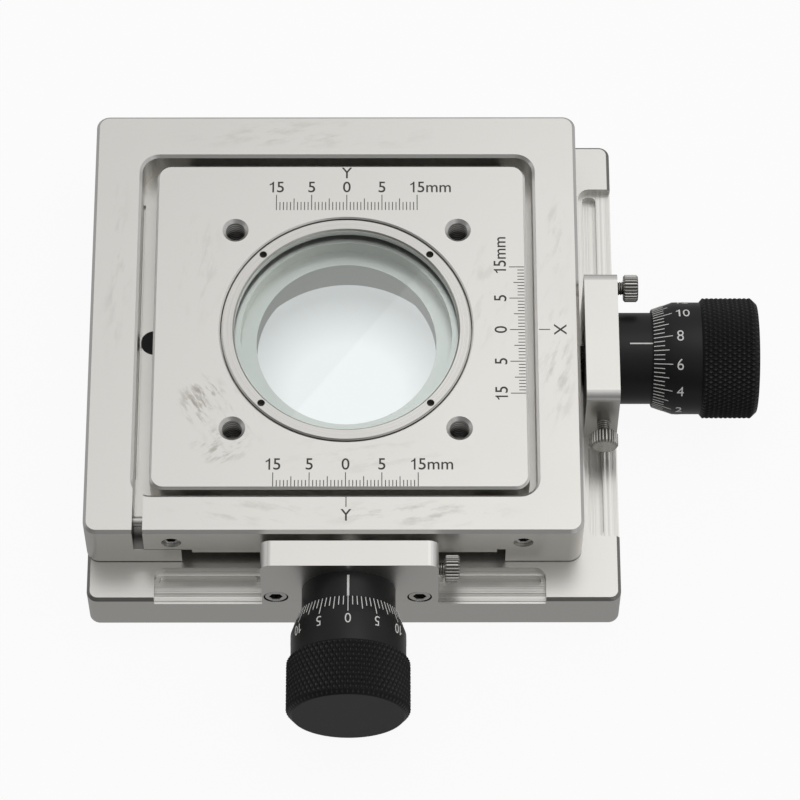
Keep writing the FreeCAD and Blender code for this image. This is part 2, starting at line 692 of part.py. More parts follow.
# Guide keys that hang from the frame in the base's grooves, with their screws.
key_low = base_thick - key_depth
key_bodies = {}
for label, (low, high, middle) in key_stretches.items():
    key = doc.addObject("PartDesign::Body", "key_" + label)
    shape = dovetail(middle, 0, key_low, frame_floor)
    add(key, outline(key, "YZ_Plane", low, shape, "key_section_" + label), high - low)
    spots = [(low + key_inset, middle), (high - key_inset, middle)]
    name = "key_counterbore_" + label
    plan = circles(key, "XY_Plane", key_low, spots, small_head + thread_clear, name)
    cut(key, plan, small_head_high, True)
    plan = circles(
        key, "XY_Plane", key_low, spots, small_shank + thread_clear, "key_hole_" + label
    )
    cut(key, plan, key_depth + slide_gap, True)
    key_bodies[label] = key
keep(group("front_keys", [key_bodies["front_left"], key_bodies["front_right"]]),
     "x_guide_keys_front")
keep(key_bodies["rear"], "x_guide_key_rear")
screws = []
for number, (across, along) in enumerate(key_screws):
    head = rod(f"key_head_{number}", "z", small_head, (across, along), key_low,
               key_low + small_head_high)
    shank = rod(f"key_shank_{number}", "z", small_shank, (across, along),
                key_low + small_head_high / 2, frame_floor + key_screw_high)
    screws.append(union(f"key_screw_{number}", [head, shank]))
keep(group("key_screws", screws), "x_key_screws")

# Dovetail rails: a flange screwed into each ledge and an undercut web in the channel.
neck = dovetail_half + slide_gap
wide = neck + dovetail_flare
foot = frame_floor + block_foot
throat_level = ledge - dovetail_neck
flange_low = ledge - rail_flange_thick
for label, wall, side in (("y_rail_left", channel_left, -1), ("y_rail_right", channel_right, 1)):
    rail = doc.addObject("PartDesign::Body", label)
    shape = [
        (side * (wall + rail_flange), ledge), (side * (wall + rail_flange), flange_low),
        (side * wall, flange_low), (side * wall, foot), (side * wide, foot),
        (side * neck, throat_level), (side * neck, ledge),
    ]
    section = outline(rail, "XZ_Plane", rail_half, shape, label + "_section")
    add(rail, section, rail_length, True)
    across = rail_screw_left if side < 0 else rail_screw_right
    spots = [(across, step * rail_screw_pitch) for step in (-1, 0, 1)]
    plan = circles(rail, "XY_Plane", ledge, spots, rail_head + thread_clear,
                   label + "_counterbores")
    cut(rail, plan, small_head_high)
    plan = circles(rail, "XY_Plane", ledge, spots, rail_shank + thread_clear, label + "_holes")
    cut(rail, plan, rail_flange_thick)
    keep(rail, label)
screws = []
for number, (across, along) in enumerate(rail_screws):
    head = rod(f"rail_head_{number}", "z", rail_head, (across, along),
               ledge - small_head_high, ledge)
    shank = rod(f"rail_shank_{number}", "z", rail_shank, (across, along), rail_screw_low,
                ledge - small_head_high / 2)
    screws.append(union(f"rail_screw_{number}", [head, shank]))
keep(group("rail_screws", screws), "y_rail_screws")

# Screws of the frame: two stops in the front bar, the ledge screw and the slit's clamp screw.
stop_tip = -pocket_front
stop_outer = plate_bevel - frame_front
hex_depth = stop_radius
screws = []
for number, (across, level) in enumerate(stops):
    stem = rod(f"stop_stem_{number}", "y", stop_radius, (across, level), stop_outer, stop_tip)
    socket = rod(f"stop_socket_{number}", "y", stop_radius / 2, (across, level),
                 stop_outer, stop_outer + hex_depth)
    screws.append(without(f"stop_screw_{number}", stem, [socket]))
keep(group("stop_screws", screws), "frame_stop_screws")
head = rod("ledge_head", "z", ledge_screw_radius, (-ledge_screw_x, ledge_screw_y),
           ledge - ledge_screw_depth, ledge)
shank = rod("ledge_shank", "z", small_shank, (-ledge_screw_x, ledge_screw_y),
            frame_floor + 2 * slide_gap, ledge - ledge_screw_depth / 2)
keep(union("ledge_screw_whole", [head, shank]), "ledge_screw")
keep(rod("clamp_screw", "x", clamp_radius, (-clamp_front, clamp_level),
         plate_bevel - frame_left, clamp_end - slide_gap), "slit_clamp_screw")
keep(rod("contact_button", "x", button_radius - thread_clear, (x_head_y, head_height),
         frame_right - button_depth, frame_right), "x_contact_button")

# Centre plate with its stepped bore for glass and ring, and four tapped holes.
centre = plate(
    "centre_plate", plate_left, plate_right, plate_front, plate_back, plate_floor, plate_thick,
    plate_corner, plate_edge,
)
seat_depth = ring_thick + glass_thick
plan = circles(centre, "XY_Plane", frame_top, [(0, 0)], seat_radius, "ring_seat")
cut(centre, plan, seat_depth)
plan = circles(centre, "XY_Plane", frame_top, [(0, 0)], seat_radius - seat_clear - glass_rest, "window_bore")
cut(centre, plan, plate_thick)


def seat_mouth(edge):
    if edge.Curve.TypeId != "Part::GeomCircle":
        return False
    return near(edge.Curve.Radius, seat_radius) and in_level(frame_top)(edge)


soften(centre, "Chamfer", ring_bevel, seat_mouth)
bolts = [(a * bolt_x, b * bolt_y) for a in (-1, 1) for b in (-1, 1)]
plan = circles(centre, "XY_Plane", frame_top, bolts, bolt_radius, "tapped_holes")
cut(centre, plan, plate_thick)


def bolt_mouths(edge):
    if edge.Curve.TypeId != "Part::GeomCircle":
        return False
    return near(edge.Curve.Radius, bolt_radius) and in_level(frame_top)(edge)


soften(centre, "Chamfer", bolt_mouth, bolt_mouths)
block_screws = [(a * block_screw_x, b * block_screw_y) for a in (-1, 1) for b in (-1, 1)]
block_thread = plate_thick / 2
plan = circles(centre, "XY_Plane", plate_floor, block_screws, small_shank + thread_clear,
               "block_screw_threads")
cut(centre, plan, block_thread, True)
keep(centre, "centre_plate")

# Retaining ring with four spanner holes, and the glass it holds.
ring_radius = seat_radius - seat_clear
ring_bore = ring_radius - ring_width
ring = turned(
    "retaining_ring",
    [(0, ring_bore), (ring_thick - ring_bevel, ring_bore), (ring_thick, ring_bore + ring_bevel),
     (ring_thick, ring_radius - ring_bevel), (ring_thick - ring_bevel, ring_radius),
     (0, ring_radius)],
    (0, 0, frame_top - ring_thick), "x",
)
ring.Placement.Rotation = FreeCAD.Rotation(FreeCAD.Vector(0, 1, 0), -90)
mid_radius = (ring_bore + ring_radius) / 2
diagonal = 0.7071
quarter = mid_radius * diagonal
spots = [(a * quarter, b * quarter) for a in (-1, 1) for b in (-1, 1)]
plan = circles(ring, "YZ_Plane", ring_thick, spots, notch_radius, "spanner_holes")
cut(ring, plan, notch_depth)
keep(ring, "retaining_ring")
glass_radius = seat_radius - seat_clear
glass_low = frame_top - seat_depth
keep(rod("glass", "z", glass_radius, (0, 0), glass_low, glass_low + glass_thick),
     "glass_window")

# Slide block: a dovetail under the centre plate with a thin tongue to the front.
slider = doc.addObject("PartDesign::Body", "y_slide_block")
flare = dovetail_half + dovetail_flare
shape = [
    (-flare, foot), (flare, foot), (dovetail_half, throat_level), (dovetail_half, plate_floor),
    (-dovetail_half, plate_floor), (-dovetail_half, throat_level),
]
section = outline(slider, "XZ_Plane", plate_front, shape, "dovetail_section")
add(slider, section, plate_front + rail_half, True)
tongue_floor = frame_floor + tongue_low
shape = [
    (-tongue_left, -tongue_front), (tongue_right, -tongue_front), (tongue_right, -tongue_back),
    (dovetail_half, -tongue_back), (dovetail_half, sink - plate_front),
    (-dovetail_half, sink - plate_front), (-dovetail_half, -tongue_back),
    (-tongue_left, -tongue_back),
]
add(slider, outline(slider, "XY_Plane", tongue_floor, shape, "tongue_plan"), tongue_thick)
block_height = plate_floor - foot
plan = circles(slider, "XY_Plane", plate_floor, [(0, 0)], throat_radius, "throat")
cut(slider, plan, block_height)
plan = circles(slider, "XY_Plane", foot, block_screws, small_head + thread_clear,
               "block_counterbores")
cut(slider, plan, small_head_high + slide_gap, True)
plan = circles(slider, "XY_Plane", foot, block_screws, small_shank + thread_clear, "block_holes")
cut(slider, plan, block_height, True)
keep(slider, "y_slide_block")
screws = []
for number, (across, along) in enumerate(block_screws):
    low = foot + slide_gap
    head = rod(f"block_head_{number}", "z", small_head, (across, along), low,
               low + small_head_high)
    shank = rod(f"block_shank_{number}", "z", small_shank, (across, along),
                low + small_head_high / 2, plate_floor + block_thread - slide_gap)
    screws.append(union(f"block_screw_{number}", [head, shank]))
keep(group("block_screws", screws), "slide_block_screws")
keep(block("push_pad", (-pad_left, pad_right), (-pad_front, -tongue_front),
           (foot, ledge - slide_gap)), "y_push_pad")

# Keeper plate behind the front lug and the two cap screws that hold it.
keeper_front = -front_lug_face
window_top = head_height + stem_radius
stock = block("keeper_stock", (-cap_left - keeper_margin, cap_right + keeper_margin),
              (keeper_front, keeper_front + keeper_thick), (base_thick, window_top + keeper_bridge))
window = block("keeper_window", (y_head_x - keeper_window, y_head_x + keeper_window),
               (keeper_front - beyond, keeper_front + keeper_thick + beyond),
               (base_thick - beyond, window_top))
holes = []
for number, (across, level) in enumerate(caps):
    holes.append(rod(f"keeper_hole_{number}", "y", cap_shank + thread_clear, (across, level),
                     keeper_front - beyond, keeper_front + keeper_thick + beyond))
keep(without("keeper", stock, [window] + holes), "y_keeper_plate")
screws = []
for number, (across, level) in enumerate(caps):
    seat = cap_sunk - base_front
    head = rod(f"cap_head_{number}", "y", cap_head, (across, level),
               thread_clear - base_front, seat)
    shank = rod(f"cap_shank_{number}", "y", cap_shank, (across, level), seat - cap_sunk / 2,
                keeper_front + keeper_thick)
    socket = rod(f"cap_socket_{number}", "y", cap_head / 2, (across, level),
                 -base_front, seat - cap_sunk / 3)
    whole = union(f"cap_whole_{number}", [head, shank])
    screws.append(without(f"cap_screw_{number}", whole, [socket]))
keep(group("cap_screws", screws), "lug_cap_screws")

# Micrometer heads. Each profile runs outward from the face of its lug.
spindle_bore = spindle_radius + shaft_clear
skirt_bore = sleeve_radius + shaft_clear
heads = {
    "x": ((base_right, x_head_y, head_height), "x", x_reading, side_lug_depth,
          side_lug_face - frame_right),
    "y": ((y_head_x, -base_front, head_height), "-y", y_reading, front_lug_depth,
          front_lug_face - pad_front),
}
for name, (spot, outward, reading, deep, reach) in heads.items():
    sleeve_end = reading + sleeve_hidden
    keep(turned(
        name + "_sleeve",
        [(-deep, spindle_bore), (sleeve_end, spindle_bore), (sleeve_end, sleeve_radius),
         (0, sleeve_radius), (0, stem_radius), (-deep, stem_radius)],
        spot, outward,
    ), name + "_sleeve")
    tip = tip_gap - deep - reach
    pin_end = reading + thimble_depth + spindle_grip
    keep(turned(
        name + "_spindle",
        [(tip, 0), (pin_end, 0), (pin_end, spindle_radius), (tip + tip_length, spindle_radius),
         (tip, spindle_radius - tip_length / 2)],
        spot, outward,
    ), name + "_spindle")
    keep(turned(
        name + "_thimble",
        [(reading, skirt_bore), (reading + thimble_depth, skirt_bore),
         (reading + thimble_depth, spindle_bore), (pin_end + slide_gap, spindle_bore),
         (pin_end + slide_gap, 0), (reading + thimble_length, 0),
         (reading + thimble_length, thimble_face), (reading + knurl_end, knurl_radius),
         (reading + knurl_start, knurl_radius),
         (reading + knurl_start - (knurl_radius - thimble_radius), thimble_radius),
         (reading + thimble_cone, thimble_radius), (reading, thimble_edge)],
        spot, outward,
    ), name + "_thimble")

# Knurled lock screws: one on each micrometer stem and one that bears on the frame.


def lock_screw(label, spot, outward, bare, inside):
    end = bare + lock_head_long
    points = [
        (-inside, 0), (end, 0), (end, lock_head - lock_bevel), (end - lock_bevel, lock_head),
        (bare + lock_bevel, lock_head), (bare, lock_head - lock_bevel), (bare, lock_shank),
        (-inside, lock_shank),
    ]
    keep(turned(label, points, spot, outward), label)


y_lock_inside = front_lug_right - y_head_x - stem_radius - 2 * slide_gap
lock_screw("y_lock_screw", (front_lug_right, -y_lock_y, y_lock_height), "x", y_lock_out,
           y_lock_inside)
x_lock_inside = side_lug_front + x_head_y - stem_radius - 2 * slide_gap
lock_screw("x_lock_screw", (x_lock_x, -side_lug_front, x_lock_height), "-y", x_lock_out,
           x_lock_inside)
lock_screw("x_clamp_screw", (base_right, clamp_lock_y, clamp_lock_height), "x",
           clamp_lock_out, side_lug_depth)

# Check every object and write each piece.
doc.recompute()
for item in doc.Objects:
    if "Invalid" in item.State or "Error" in item.State:
        raise RuntimeError(f"{item.Name} failed: {item.State}")
os.makedirs("parts", exist_ok=True)
for label, piece in kept:
    shape = piece.Shape
    if shape.isNull() or not shape.isValid() or not shape.Solids:
        raise RuntimeError(f"{label} has no valid solid")
    if piece.TypeId != "Part::Compound" and len(shape.Solids) != 1:
        raise RuntimeError(f"{label} came out in {len(shape.Solids)} pieces")
    shape.exportStep(f"parts/{label}.step")
    box = shape.BoundBox
    print(f"{label}: {len(shape.Solids)} solid, {shape.Volume:.1f} mm3, "
          f"x {box.XMin:.2f}..{box.XMax:.2f} y {box.YMin:.2f}..{box.YMax:.2f} "
          f"z {box.ZMin:.2f}..{box.ZMax:.2f}")
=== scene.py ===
import json
import math
from contextlib import contextmanager

import bmesh
import bpy
from mathutils import Matrix, Vector


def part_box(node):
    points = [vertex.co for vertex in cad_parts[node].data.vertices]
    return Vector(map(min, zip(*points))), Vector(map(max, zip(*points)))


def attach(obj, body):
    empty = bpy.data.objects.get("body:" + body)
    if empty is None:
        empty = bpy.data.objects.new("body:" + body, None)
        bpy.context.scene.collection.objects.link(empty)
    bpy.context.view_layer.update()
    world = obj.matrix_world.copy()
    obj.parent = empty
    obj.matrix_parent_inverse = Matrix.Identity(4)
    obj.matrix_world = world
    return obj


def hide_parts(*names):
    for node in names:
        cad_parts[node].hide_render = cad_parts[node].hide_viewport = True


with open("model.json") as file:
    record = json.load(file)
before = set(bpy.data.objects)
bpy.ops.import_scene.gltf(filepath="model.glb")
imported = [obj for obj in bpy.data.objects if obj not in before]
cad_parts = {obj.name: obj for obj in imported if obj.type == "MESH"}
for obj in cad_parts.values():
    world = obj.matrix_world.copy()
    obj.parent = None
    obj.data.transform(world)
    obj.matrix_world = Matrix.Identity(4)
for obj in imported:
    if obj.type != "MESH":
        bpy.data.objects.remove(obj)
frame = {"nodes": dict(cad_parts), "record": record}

bl_info = {
    "name": "Microscope XY stage",
    "version": (1, 0, 0),
    "blender": (4, 5, 0),
    "location": "3D View > Sidebar > XY Stage",
    "description": "Metal finishes, knurled heads, scales and a studio for the XY stage",
    "category": "Object",
}

MM = 0.001
NODES = frame["nodes"]
BODIES = frame["record"]["behaviour"]["bodies"]
BOLTS = next(mount["dims"] for mount in frame["record"]["mounts"]
             if mount["name"] == "specimen_bolts")
HEADS = (("x", (1, 0)), ("y", (0, -1)))  # the micrometer heads and the way each points


# ---- settings


def colour_setting(name, description, default):
    """A colour that a user can change."""
    return bpy.props.FloatVectorProperty(
        name=name, description=description, subtype="COLOR", min=0, max=1, default=default)


def length_setting(name, description, millimetres):
    """A length that a user can change."""
    return bpy.props.FloatProperty(
        name=name, description=description, unit="LENGTH", min=0, default=millimetres * MM)


def angle_setting(name, description, degrees):
    """An angle that a user can change."""
    return bpy.props.FloatProperty(
        name=name, description=description, subtype="ANGLE", default=math.radians(degrees))


class FinishSettings(bpy.types.PropertyGroup):
    nickel: colour_setting("Nickel", "Colour of the satin nickel plating", (0.7, 0.688, 0.656))
    nickel_roughness: bpy.props.FloatProperty(
        name="Nickel roughness", description="How matt the satin plating is",
        subtype="FACTOR", min=0, max=1, default=0.34)
    scuff: colour_setting("Scuffs", "Colour of the handling marks on the plating",
                          (0.33, 0.3, 0.26))
    steel: colour_setting("Steel", "Colour of the bright screws", (0.6, 0.59, 0.56))
    anodised: colour_setting("Black anodising", "Colour of the micrometer heads",
                             (0.0085, 0.0085, 0.009))
    enamel: colour_setting("White fill", "Colour of the marks on the micrometer heads",
                           (0.86, 0.86, 0.84))
    engraving: colour_setting("Engraving", "Colour of the scales engraved in the plates",
                              (0.062, 0.06, 0.056))
    glass: colour_setting("Glass", "Tint of the window", (0.93, 0.985, 0.98))


class HeadSettings(bpy.types.PropertyGroup):
    starts: bpy.props.IntProperty(
        name="Knurl starts", description="Grooves of each hand around the grip",
        min=12, max=120, default=70)
    knurl_depth: length_setting("Knurl depth", "Depth of the diamond knurl", 0.42)
    helix: angle_setting("Knurl angle", "Angle of the knurl to the axis", 30)
    divisions: bpy.props.IntProperty(
        name="Divisions", description="Graduation lines around the thimble",
        min=12, max=200, default=72)
    line_width: length_setting("Line width", "Width of a graduation line", 0.17)
    x_index: angle_setting("X index angle", "Angle of the X sleeve's index line from the top",
                           -8.6)


class ScaleSettings(bpy.types.PropertyGroup):
    pitch: length_setting("Pitch", "Spacing of the plate scales' lines", 0.757)
    short: length_setting("Short line", "Length of a plain line", 1.98)
    medium: length_setting("Medium line", "Length of every fifth line", 2.85)
    long: length_setting("Long line", "Length of every tenth line", 3.75)
    width: length_setting("Line width", "Width of an engraved line", 0.18)
    letter: length_setting("Letter height", "Height of the engraved figures", 2.65)


class StudioSettings(bpy.types.PropertyGroup):
    camera: bpy.props.FloatVectorProperty(
        name="Camera", description="Where the camera stands",
        subtype="TRANSLATION", default=(0.0094, -0.40849, 0.79474))
    tilt: angle_setting("Tilt", "How far the camera looks down", 63.026)
    heading: angle_setting("Heading", "The camera's turn to the right", 0.2892)
    roll: angle_setting("Roll", "The camera's roll", 0.2161)
    lens: bpy.props.FloatProperty(
        name="Lens", description="Focal length on a 36 mm sensor", default=184.84)
    floor: colour_setting("Floor", "Colour of the floor", (0.82, 0.82, 0.82))
    floor_in_metal: bpy.props.FloatProperty(
        name="Floor in the metal", description="Brightness of the floor in reflections",
        subtype="FACTOR", min=0, max=1, default=0.35)


SETTINGS = {"stage_finish": FinishSettings, "stage_heads": HeadSettings,
            "stage_scales": ScaleSettings, "stage_studio": StudioSettings}


# ---- node trees


def maths(operation, reflected=False):
    """A method that adds a Math node to a wire and another wire or number."""
    def method(self, other):
        return self.math(operation, *((other, self) if reflected else (self, other)))
    return method


class Wire:
    """One output of a node, on which Python's maths adds Math nodes."""

    def __init__(self, tree, socket):
        self.tree, self.socket = tree, socket

    def math(self, operation, *values):
        """A Math node on any values."""
        return node(self.tree, "ShaderNodeMath", {"operation": operation}, values)

    __add__, __radd__ = maths("ADD"), maths("ADD", True)
    __sub__, __rsub__ = maths("SUBTRACT"), maths("SUBTRACT", True)
    __mul__, __rmul__ = maths("MULTIPLY"), maths("MULTIPLY", True)
    __truediv__, __rtruediv__ = maths("DIVIDE"), maths("DIVIDE", True)
    __gt__, __lt__ = maths("GREATER_THAN"), maths("LESS_THAN")
    least, most = maths("MINIMUM"), maths("MAXIMUM")

    def __abs__(self):
        return self.math("ABSOLUTE", self)

    def held(self, low=0.0, high=1.0):
        """The number, kept between two others."""
        return self.most(low).least(high)

    def wave(self, half):
        """A triangle wave from 0 to 1 and back over twice the half period."""
        return self.math("PINGPONG", self, half) / half

    def root(self):
        """The square root."""
        return self.math("SQRT", self)


def node(tree, kind, settings=None, inputs=(), output=0):
    """Adds a node, sets its settings first and then its sockets, and returns one output."""
    made = tree.nodes.new(kind)
    for name, value in (settings or {}).items():
        if name == "stops":
            stops = made.color_ramp.elements
            while len(stops) < len(value):
                stops.new(1)
            for stop, (place, grey) in zip(stops, value):
                stop.position, stop.color = place, (grey, grey, grey, 1)
        else:
            setattr(made, name, value)
    pairs = inputs.items() if isinstance(inputs, dict) else enumerate(inputs)
    for key, value in pairs:
        if isinstance(value, Wire):
            tree.links.new(value.socket, made.inputs[key])
        else:
            made.inputs[key].default_value = value
    return Wire(tree, made.outputs[output] if len(made.outputs) else None)


def split(vector):
    """The three numbers of a vector."""
    parts = node(vector.tree, "ShaderNodeSeparateXYZ", {}, [vector])
    return [Wire(vector.tree, out) for out in parts.socket.node.outputs]


def hypot(first, second):
    """The distance that two numbers at right angles make."""
    return (first * first + second * second).root()


def between(value, low, high):
    """1 where a number lies between two others, and 0 elsewhere."""
    return (value > low) * (value < high)


def blend(factor, first, second):
    """A mix of two colours."""
    colours = [c if isinstance(c, Wire) else (*c, 1) for c in (first, second)]
    return node(factor.tree, "ShaderNodeMix", {"data_type": "RGBA"},
                {0: factor, 6: colours[0], 7: colours[1]}, output=2)


def shaded(factor, colour, low, high):
    """A colour that wanders between a darker and a lighter shade of itself."""
    return blend(factor, [c * low for c in colour], [min(c * high, 1) for c in colour])


def noise(vector, scale, detail, stretch=(1, 1, 1)):
    """Cloudy noise from 0 to 1; the scale is in features per millimetre."""
    placed = node(vector.tree, "ShaderNodeMapping", {}, {"Vector": vector, "Scale": stretch})
    return node(vector.tree, "ShaderNodeTexNoise", {},
                {"Vector": placed, "Scale": scale, "Detail": detail})


def stripes(way, scale, detail):
    """Noise that changes with one number only."""
    return node(way.tree, "ShaderNodeTexNoise", {"noise_dimensions": "1D"},
                {"W": way, "Scale": scale, "Detail": detail})


def stored(tree, name):
    """A number that the ridges tree left on the piece."""
    return node(tree, "ShaderNodeAttribute", {"attribute_name": name}, output=2)


def new_material(name):
    """An empty material, and the piece's coordinates in millimetres in its tree."""
    material = bpy.data.materials.new(name)
    material.use_nodes = True
    tree = material.node_tree
    tree.nodes.clear()
    place = node(tree, "ShaderNodeTexCoord", output=3)
    return material, node(tree, "ShaderNodeVectorMath", {"operation": "SCALE"},
                          {"Vector": place, "Scale": 1 / MM})


def bump(height, depth, normal=None):
    """A bump of so many millimetres."""
    inputs = {"Height": height, "Distance": depth * MM, "Strength": 1.0}
    if normal:
        inputs["Normal"] = normal
    return node(height.tree, "ShaderNodeBump", {}, inputs)


def surface(material, values):
    """Ends a material in the one shader that all the finishes use."""
    shader = node(material.node_tree, "ShaderNodeBsdfPrincipled", {}, values)
    node(material.node_tree, "ShaderNodeOutputMaterial", {}, [shader])
    return material


def geometry_tree(name, floats, counts=()):
    """A Geometry Nodes tree, and its inputs by name."""
    tree = bpy.data.node_groups.new(name, "GeometryNodeTree")
    face = tree.interface
    for kind, labels in (("Geometry", ["Geometry"]), ("Float", floats), ("Int", counts),
                         ("Material", ["Finish"])):
        for label in labels:
            face.new_socket(label, in_out="INPUT", socket_type="NodeSocket" + kind)
    face.new_socket("Geometry", in_out="OUTPUT", socket_type="NodeSocketGeometry")
    source = tree.nodes.new("NodeGroupInput")
    return tree, {out.name: Wire(tree, out) for out in source.outputs if out.name}


def close_tree(shape, finish):
    """Ends a Geometry Nodes tree with real, coated faces."""
    tree = shape.tree
    real = node(tree, "GeometryNodeRealizeInstances", {}, [shape])
    coated = node(tree, "GeometryNodeSetMaterial", {}, {"Geometry": real, "Material": finish})
    out = tree.nodes.new("NodeGroupOutput")
    tree.links.new(coated.socket, out.inputs[0])
    return tree


def cut_ridges_tree():
    """Cuts grooves into a turned shape: knurls of one or both hands, and screw threads."""
    tree, given = geometry_tree("Cut ridges", (
        "Radius", "Depth", "Starts", "Rise", "Second rise", "Flat", "Start", "End"))
    along, across, up = split(node(tree, "GeometryNodeInputPosition"))
    radius = hypot(across, up)
    turn = up.math("ARCTAN2", up, across) * given["Starts"] / math.tau
    first = (turn + along * given["Rise"]).wave(0.5)
    second = (turn + along * given["Second rise"]).wave(0.5)
    height = (first.least(second) / (1 - given["Flat"])).least(1.0)
    cut = given["Radius"] - given["Depth"] * (1 - height)
    skin = radius > given["Radius"] * 0.8
    inside = between(along, given["Start"], given["End"]) * skin
    ratio = radius.least(cut) / radius
    moved = node(tree, "ShaderNodeCombineXYZ", {}, [along, across * ratio, up * ratio])
    shape = given["Geometry"]
    for name, value in (("crest", height), ("root", 1 - height)):
        before = node(tree, "GeometryNodeInputNamedAttribute", {"data_type": "FLOAT"}, [name])
        shape = node(tree, "GeometryNodeStoreNamedAttribute",
                     {"data_type": "FLOAT", "domain": "POINT"},
                     {"Geometry": shape, "Name": name, "Value": (value * inside).most(before)})
    shape = node(tree, "GeometryNodeSetPosition", {},
                 {"Geometry": shape, "Selection": inside, "Position": moved})
    return close_tree(shape, given["Finish"])


def scale_lines_tree():
    """A row of graduation lines along X, each as long as its number asks."""
    tree, given = geometry_tree(
        "Scale lines", ("Pitch", "Base", "Short", "Medium", "Long", "Width", "Thickness"),
        ("Count", "Medium every", "Long every"))
    index = node(tree, "GeometryNodeInputIndex")
    medium = index.math("MODULO", index, given["Medium every"]) < 0.5
    long = index.math("MODULO", index, given["Long every"]) < 0.5
    reach = given["Short"] + (given["Medium"] - given["Short"]) * medium
    reach = reach + (given["Long"] - given["Medium"]) * long
    step = node(tree, "ShaderNodeCombineXYZ", {}, [given["Pitch"], 0.0, 0.0])
    row = node(tree, "GeometryNodeMeshLine", {"mode": "OFFSET"},
               {"Count": given["Count"], "Offset": step})
    middle = node(tree, "ShaderNodeCombineXYZ", {}, [0.0, (given["Base"] + reach) / 2, 0.0])
    row = node(tree, "GeometryNodeSetPosition", {}, {"Geometry": row, "Offset": middle})
    size = node(tree, "ShaderNodeCombineXYZ", {},
                [given["Width"], reach - given["Base"], given["Thickness"]])
    bar = node(tree, "GeometryNodeMeshCube", {}, {"Size": (1.0, 1.0, 1.0)})
    lines = node(tree, "GeometryNodeInstanceOnPoints", {},
                 {"Points": row, "Instance": bar, "Scale": size})
    return close_tree(lines, given["Finish"])


def new_object(name, data):
    """An object in the scene."""
    made = bpy.data.objects.new(name, data)
    bpy.context.scene.collection.objects.link(made)
    return made


def plain_mesh(holder):
    """The mesh of an object with its modifiers applied. The object goes."""
    graph = bpy.context.evaluated_depsgraph_get()
    made = bpy.data.meshes.new_from_object(holder.evaluated_get(graph))
    bpy.data.objects.remove(holder)
    return made


def grown(tree, values, mesh=None):
    """The plain mesh that a tree makes, from a mesh or from nothing."""
    holder = new_object("holder", mesh or bpy.data.meshes.new("empty"))
    modifier = holder.modifiers.new("tree", "NODES")
    modifier.node_group = tree
    for item in tree.interface.items_tree:
        if item.in_out == "INPUT" and item.name in values:
            modifier[item.identifier] = values[item.name]
    return plain_mesh(holder)


# ---- finishes

# Where the shading follows the shape, in millimetres in the stage's frame.
BEVELS = (0.25, 0.94)  # the height of the normal on a chamfer or a rounded edge
LEDGE = 12.0  # the base's bevels below this height get painted shade instead of a painted highlight
TAP, TAP_PITCH, CHAMFER = 2.4, 0.8, 0.72  # the plate's holes: radius, pitch, depth of the bevel
SHADOW_START, SHADOW_LENGTH = 2.6, 2.2  # how far down the holes darken
SLIT_X, SLIT_Y, SLIT_TOP = (-44.25, -41.95), (-47.8, -40.5), 25.5  # the slit's dark inside
RELIEF_FRONT, RELIEF_SIDE, RELIEF_TOP = -49.3, 50.5, 11.2  # the base's milled pockets

# Painted highlight on the plating's bevels, and painted shade on the base's low bevels.
PAINTED_EDGE_HIGHLIGHT, PAINTED_EDGE_SHADE = (0.93, 0.92, 0.9), (0.2, 0.195, 0.185)
# Painted shade in the holes' thread roots, and painted shadow towards their bottoms.
PAINTED_THREAD_SHADE, PAINTED_HOLE_SHADOW = (0.03, 0.029, 0.027), (0.012, 0.012, 0.011)
SLIT_SHADE, NOTCH_SHADE = (0.05, 0.049, 0.045), (0.06, 0.058, 0.052)
PAINTED_STEEL_ROOT_SHADE = (0.07, 0.067, 0.06)
CREST_WEAR_AND_HIGHLIGHT, PAINTED_BLACK_ROOT_SHADE = (0.09, 0.09, 0.09), (0.0015, 0.0015, 0.0015)

# Handling marks: middle, half width and half height in millimetres, the strokes' direction in
# degrees, their fineness and their strength.
SCUFFS_FRAME = (
    (-8, 47.5, 34, 4.5, 8, 0.4, 0.22), (44.5, -8, 4.5, 20, 68, 0.45, 0.34),
    (44, 22, 4.5, 14, 75, 0.45, 0.2), (14, -43.5, 24, 4, 10, 0.45, 0.34),
    (-20, -43, 20, 4, -12, 0.45, 0.22), (-49, 14, 4, 26, 80, 0.4, 0.18))
SCUFFS_PLATE = (
    (-30, -17, 6, 7, 125, 0.9, 0.75), (-26, -27, 7, 6, 35, 0.9, 0.62),
    (-24, -21, 9, 11, 120, 0.6, 0.25), (30, 8, 7, 16, 70, 0.5, 0.16),
    (4, -30, 24, 6, 8, 0.5, 0.14), (-31, 14, 6, 16, 80, 0.5, 0.14))


def handling_marks(place, scuffs):
    """How strongly the plating is marked at a place, 0 to 1."""
    x, y, z = split(place)
    marks = z * 0
    for across, along, wide, high, lean, fine, strength in scuffs:
        far = hypot((x - across) / wide, (y - along) / high)
        lay, rise = math.cos(math.radians(lean)), math.sin(math.radians(lean))
        with_lay, off_lay = x * lay + y * rise, y * lay - x * rise
        spot = node(place.tree, "ShaderNodeCombineXYZ", {}, [with_lay * 0.3, off_lay, z])
        strokes = node(place.tree, "ShaderNodeTexNoise", {}, {
            "Vector": spot, "Scale": fine, "Detail": 4.0, "Roughness": 0.62})
        patch = ((strokes - 0.51) * 7).held()
        soft = ((1 - far) * 1.6).held()
        marks = marks.most(soft * patch * strength)
    return marks


